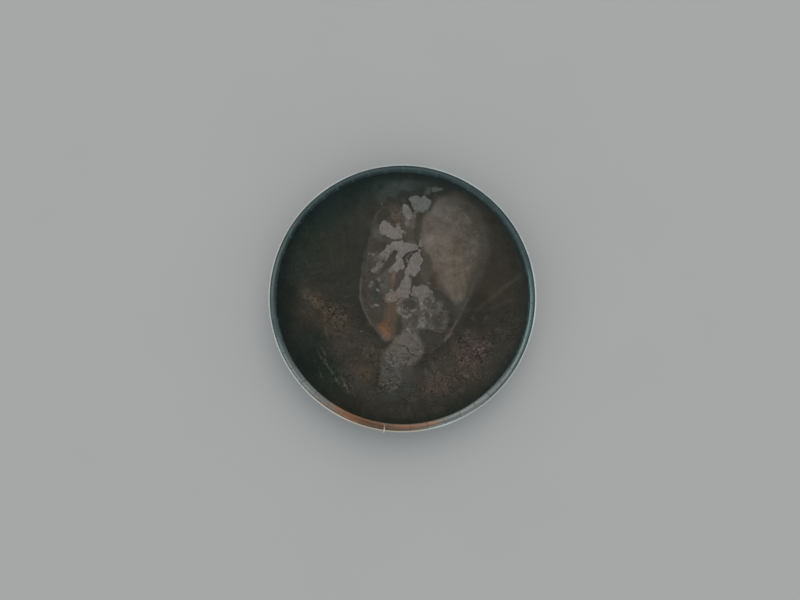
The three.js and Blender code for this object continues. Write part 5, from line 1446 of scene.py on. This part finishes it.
    # the same crust breaks up into lumps the size of a table, with wet brown holes between
    torn = p.inside([(396, 300), (404, 297.6), (416, 299), (428, 297), (437, 301), (444, 309), (447, 318), (446, 330), (434, 331), (420, 331), (410, 334), (402, 328), (398, 318)], 2.0)
    lumps = fbm(p.x / 4.4 + 5.0, p.y / 4.4, 1201, 3, 0.5)
    p.top = p.top + torn * (0.018 + 0.17 * (lumps - 0.5))
    p.cover = p.cover * (1 - 0.55 * torn * smooth(0.46, 0.36, lumps))
    p.cover = np.maximum(p.cover, 0.66 * torn * smooth(0.54, 0.68, lumps))
    p.tone = p.tone + torn * 0.10 * (fbm(p.x / 2.2, p.y / 2.2, 1303, 2) - 0.5)
    p.shade(0.7 * p.inside([(412, 312.6), (419, 311), (421, 315), (419, 320.0), (412, 319.4)], 1.0), 0.275, 0.60)
    p.shade(0.6 * p.spot(401.6, 302.4, 3.4, 4.4), 0.292, 0.66)
    p.shade(0.5 * p.spot(403.4, 316.6, 3.6, 1.8, 20), 0.415, 0.50)
    p.shade(0.5 * p.spot(423.4, 324.6, 6.0, 3.4, 20), 0.385, 0.42)
    # open water in the loose crust
    for pts, tone, hue in (
        ([(403.6, 302.6), (408, 300.4), (411.6, 297.8), (414, 300.6), (416.4, 304.8), (414.2, 308.0), (408, 307.6), (404.4, 307.4)], 0.225, 0.46),
        ([(411.4, 283.0), (413.2, 279), (416, 277.6), (419.6, 274.4), (422.6, 277.2), (424.0, 280.6), (426.4, 281.8), (425.6, 283.8), (421.8, 283.8), (418.4, 285.0), (415.0, 283.8)], 0.228, 0.46),
        ([(397.0, 318.6), (400.6, 316.4), (403.2, 321.6), (404.0, 327), (400.6, 330), (396.8, 326)], 0.228, 0.50),
        ([(424.6, 299), (427.4, 299.6), (426.4, 302.8), (423.6, 302.4)], 0.275, 0.56),
        ([(431.4, 304.6), (434.6, 305.4), (435, 310.0), (431.6, 310.6)], 0.245, 0.52),
        ([(427.2, 300.8), (430.6, 302), (430.6, 305), (427.8, 304.4)], 0.255, 0.50),
        ([(431.4, 316.6), (436, 314), (441, 316), (440.6, 326), (436, 329), (433.4, 323)], 0.232, 0.50),
        ([(413.0, 322.4), (415.4, 320.6), (416, 323.6), (414.2, 326)], 0.27, 0.52),
    ):
        p.open(0.8 * smooth(1.0, -1.0, p.away(pts) + 2.8 * (fbm(p.x / 2.4, p.y / 2.4, 1701, 3) - 0.5)), tone, hue, 0.10)
    bits = fbm(p.x / 1.9, p.y / 1.9, 1702, 2)
    p.cover = np.maximum(p.cover, 0.56 * torn * smooth(0.60, 0.68, bits))
    p.cover = p.cover * (1 - 0.40 * torn * smooth(0.38, 0.31, bits))
    # the north-western island is torn into strips
    strips = p.haze(381, 262, 9, 10, -40)
    p.cover = p.cover * (1 - 0.50 * strips * smooth(0.50, 0.38, fbm((p.x + p.y) / 2.6, (p.y - p.x) / 1.5, 1703, 3)))
    # red-brown streak, and open channels between the islands
    p.crust([(388.6, 274), (391.6, 271.0), (396.6, 273), (397.0, 280.6), (395.4, 286), (395, 293.0), (389.6, 293.6), (388.0, 283)], 0.305, 0.74, 0.08, 0.01, 0.88, 2.8, cool=0.25)
    p.shade(0.80 * p.spot(394.0, 277.6, 2.4, 4.6, 0, 0.6), 0.345, 0.87, 0.45)
    p.shade(0.60 * p.spot(390.0, 283.0, 1.5, 6.0, 0, 0.6), 0.282, 0.82)
    p.shade(0.60 * p.spot(394.6, 288.0, 1.5, 4.0, 0, 0.6), 0.262, 0.70)
    p.open(0.85 * p.line([(418.4, 214.5), (418.6, 220), (417.8, 230), (417.2, 236), (417.2, 242)], 2.8, 1.6), 0.238, 0.64)
    p.open(0.75 * p.line([(435.6, 193), (434.6, 200), (431.8, 205.6), (429.6, 209.8)], 2.2, 1.2), 0.215, 0.46)
    p.open(0.75 * p.line([(425.4, 211), (428.4, 212.6), (426, 214)], 1.4, 1.0), 0.28, 0.56)
    p.open(0.92 * p.line([(395.6, 252.0), (392.4, 256.6), (389.8, 261.6), (386.4, 266), (382.4, 270.8)], 3.0, 1.9), 0.226, 0.56, cool=0.35)
    p.open(0.82 * p.line([(412.2, 252.2), (409.0, 254.8), (406.0, 258.4)], 2.0, 1.8), 0.305, 0.62, cool=0.4)
    p.open(0.32 * p.line([(405.6, 260.0), (405.2, 265.0)], 1.8, 1.8), 0.310, 0.62, cool=0.4)
    p.open(0.82 * p.line([(403.0, 270.6), (401.2, 274.6), (398.8, 279.6), (397.4, 282.6)], 2.2, 1.8), 0.256, 0.60, cool=0.2)
    p.open(0.7 * p.line([(401.4, 214), (403, 219), (403.4, 224), (404.4, 228.4)], 2.0, 1.4), 0.262, 0.60)
    p.open(0.7 * p.line([(384.6, 238.4), (389.6, 240.2), (395, 241), (400, 240.2)], 0.9, 1.0), 0.25, 0.5)
    p.open(0.6 * p.line([(422.4, 250), (424.6, 254.4)], 2.0, 1.2), 0.262, 0.64)
    p.open(0.6 * p.line([(427.4, 312), (425, 316), (421.6, 316.6)], 1.4, 0.9), 0.265, 0.5)
    p.open(0.6 * p.line([(411.6, 284.6), (411.0, 288.6), (411.6, 292)], 0.9, 0.9), 0.27, 0.5)
    # thin skins at the islands' edges, and a few wet gaps
    for pts, tone, hue, full in (([(384.4, 249.4), (387.4, 245.6), (391.4, 243.6), (392.4, 248.2), (389, 250.8)], 0.415, 0.52, 0.90), ([(387.6, 292.6), (391, 291.6), (394.6, 292.4), (394.6, 296), (390, 296.6), (387.6, 295.4)], 0.380, 0.66, 0.80),
                                 ([(394, 297.6), (398, 298), (399, 301.4), (395.4, 302.4)], 0.378, 0.62, 0.80), ([(399.6, 266), (403.6, 264.6), (405, 269), (401.4, 271.4)], 0.402, 0.54, 0.95),
                                 ([(430, 294.4), (434, 294), (435, 297.4), (431.4, 298.8)], 0.352, 0.54, 0.75), ([(370.6, 254.6), (374, 253), (376.8, 254.4), (375, 257), (371.6, 257.4)], 0.358, 0.50, 0.75),
                                 ([(400.6, 228.8), (404.6, 229.6), (405.2, 233.6), (402.0, 234.8)], 0.405, 0.54, 0.92),
                                 ([(405.0, 258.6), (408, 258.0), (408.8, 262.6), (405.6, 264)], 0.362, 0.54, 0.75), ([(403.4, 310), (406.4, 309.4), (409, 310.6), (407.6, 313), (404, 312.8)], 0.378, 0.52, 0.85), ([(380.6, 297.6), (384, 296.6), (385.6, 299.6), (382.6, 301.4)], 0.345, 0.66, 0.72),
                                 ([(410.2, 277.4), (412.4, 276.8), (413, 280.4), (411, 281.4)], 0.372, 0.50, 0.85)):
        p.crust(pts, tone, hue, 0.12, 0.012, full)
    p.crust([(416.8, 249), (419, 247.2), (421.6, 249.6), (420.6, 252.4), (417.0, 252.0)], 0.378, 0.64, 0.10, 0.01, 0.85, cool=0.4)
    p.shade(0.6 * p.spot(390.4, 271.8, 2.6, 1.8), 0.43, 0.62)
    p.shade(0.5 * p.spot(409, 213, 3.4, 2.0), 0.33, 0.50)
    p.open(0.60 * p.spot(443, 317, 3.0, 3.4), 0.242, 0.58, 0.10)
    p.open(0.60 * p.spot(412, 308.4, 3.2, 1.8), 0.232, 0.48, 0.08)
    p.open(0.85 * p.spot(377, 276, 2.4, 2.0), 0.232, 0.46, 0.08)
    p.open(0.45 * p.spot(379, 272.6, 2.4, 1.8), 0.245, 0.46, 0.08)
    p.open(0.50 * p.spot(443.6, 325, 2.4, 3.0), 0.258, 0.56, 0.10)
    p.open(0.50 * p.spot(434, 304.6, 2.4, 2.0), 0.255, 0.56, 0.10)
    p.shade(0.5 * p.spot(389, 299, 2.4, 2.0), 0.328, 0.68)
    p.shade(0.4 * p.spot(422, 300, 3.0, 2.0), 0.345)
    p.open(0.55 * p.spot(385, 236.6, 2.2, 1.4, 20), 0.245, 0.50, 0.08)
    p.open(0.35 * p.spot(400, 307, 2.4, 2.6), 0.265, 0.56, 0.08)
    # dark margin all round, in the outermost ring of the surface
    az = np.degrees(np.arctan2(298.4 - p.y, p.x - 402.4)) % 360
    p.lay(0.55 * smooth(0.78, 0.93, rr) * (bell(az, 0, 70) + bell(az, 290, 60)).clip(0, 1), None, 0.40)
    p.lay(0.72 * smooth(0.925, 0.995, rr), 0.135 + 0.042 * bell(az, 10, 55), 0.12 - 0.12 * bell(az, 324, 22), 0.0, 0.02, 0.0, 0.60 + 0.2 * bell(az, 324, 24) - 0.60 * bell(az, 262, 36))


def basin_light(p):
    """How much of the sky's light reaches the slurry; the wall shades its margin, most in the north."""
    x, y = p.x - 402.4, 298.4 - p.y
    r, a = np.hypot(x, y), np.arctan2(y, x)
    g = np.clip((r - 50) / 75, 0, 1) ** 2.2
    k = 0.33 + 0.21 * np.clip(0.5 + 0.9 * np.sin(a) + 0.12 * np.cos(a), 0, 1)
    return 0.88 - g * k


def slurry():
    n = 300
    g = np.linspace(-1, 1, n + 1)
    a, b = (q.ravel() for q in np.meshgrid(g, g, indexing="ij"))
    with np.errstate(divide="ignore", invalid="ignore"):
        first = np.abs(a) > np.abs(b)
        r = np.where(first, a, b)
        phi = np.where(first, math.pi / 4 * (b / a), math.pi / 2 - math.pi / 4 * (a / b))
    phi = np.where((a == 0) & (b == 0), 0.0, phi)
    rad = R - 0.003
    x, y = rad * r * np.cos(phi), rad * r * np.sin(phi)
    p = Plan(x, y)
    draw_surface(p)
    # lumps at the size of hand and bucket on top of the drawing, stronger where it is mottled
    lump = fbm(p.x / 1.5, p.y / 1.5, 611, 3, 0.6) - 0.5
    wide = fbm(p.x / 6.5, p.y / 6.5, 712, 3) - 0.5
    patch = 0.55 + 0.75 * smooth(0.36, 0.66, fbm(p.x / 11.0, p.y / 8.0, 914, 2))
    p.mottle = p.mottle * patch
    p.tone = p.tone + p.mottle * (0.55 * lump + 0.30 * wide) + 0.02 * wide
    p.hue = np.clip(p.hue + 0.10 * (fbm(p.x / 3.0, p.y / 3.0, 813, 3) - 0.5), 0, 1)
    z = SLURRY_Z + p.lift * (0.6 + 0.9 * (lump + 0.5)) + p.dry * 0.010 * lump
    idx = np.arange((n + 1) ** 2).reshape(n + 1, n + 1)
    q = np.stack([idx[:-1, :-1], idx[1:, :-1], idx[1:, 1:], idx[:-1, 1:]], -1).reshape(-1, 4)
    m = Build()
    top = p.top + p.top_mottle * (0.9 * lump + 0.5 * wide)
    # the last value is painted light: the inverse of the basin's light, which brightens the colour where the wall
    # shades the slurry
    m.add(np.stack([x, y, z], -1), q, tone=np.clip(p.tone, 0.05, 0.6), hue=p.hue, dry=np.clip(p.dry, 0, 1), mottle=p.mottle,
          top=np.clip(top, 0.05, 0.6), top_hue=p.top_hue, top_mottle=p.top_mottle, cover=p.cover, cool=np.clip(p.cool, -1, 1),
          shelter=1 / basin_light(p))
    m.object("slurry_surface", MAT["slurry"], "slurry")


# ------------------------------------------------------------------ build
wall()
sealants()
bolts()
rings()
fittings()
fill_pipe()
slurry()

for name, material in (("floor_slab", "concrete"), ("fill_pipe_bracket_lower", "bracket"), ("fill_pipe_bracket_upper", "bracket"), ("fill_pipe_bracket_inside", "bracket")):
    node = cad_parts[name]
    node.data.materials.clear()
    node.data.materials.append(MAT[material])

# ------------------------------------------------------------------ stage, light, camera
gs = Shader("studio_floor")
ga = gs.noise(0.05, 2.0)
floor_mat = gs.finish(gs.mix(ga, (0.40, 0.40, 0.395), (0.42, 0.42, 0.415)), 0.9, specular=0.1)
mesh = bpy.data.meshes.new("studio_floor")
mesh.from_pydata([(-400, -400, -0.002), (400, -400, -0.002), (400, 400, -0.002), (-400, 400, -0.002)], [], [(0, 1, 2, 3)])
mesh.materials.append(floor_mat)
floor = bpy.data.objects.new("studio_floor", mesh)
bpy.context.scene.collection.objects.link(floor)

scene = bpy.context.scene
world = bpy.data.worlds.new("sky")
scene.world = world
world.use_nodes = True
bg = world.node_tree.nodes["Background"]
bg.inputs["Color"].default_value = (0.91, 0.955, 0.975, 1)
bg.inputs["Strength"].default_value = 0.78

sun_data = bpy.data.lights.new("soft_light", "SUN")
sun_data.energy = 0.85
sun_data.angle = math.radians(50)
sun_data.color = (1.0, 0.97, 0.93)
sun = bpy.data.objects.new("soft_light", sun_data)
scene.collection.objects.link(sun)
az, el = math.radians(80), math.radians(50)
sun.rotation_mode = "QUATERNION"
sun.rotation_quaternion = Vector((math.cos(az) * math.cos(el), math.sin(az) * math.cos(el), math.sin(el))).to_track_quat("Z", "Y")

cam_data = bpy.data.cameras.new("camera")
cam_data.sensor_width = 36
cam_data.lens = 27.9
cam_data.clip_end = 1000
cam = bpy.data.objects.new("camera", cam_data)
scene.collection.objects.link(cam)
cam.location = (-0.345, -0.23, 94.73)
scene.camera = cam
scene.view_settings.view_transform = "Standard"
scene.view_settings.look = "None"

bpy.context.view_layer.update()
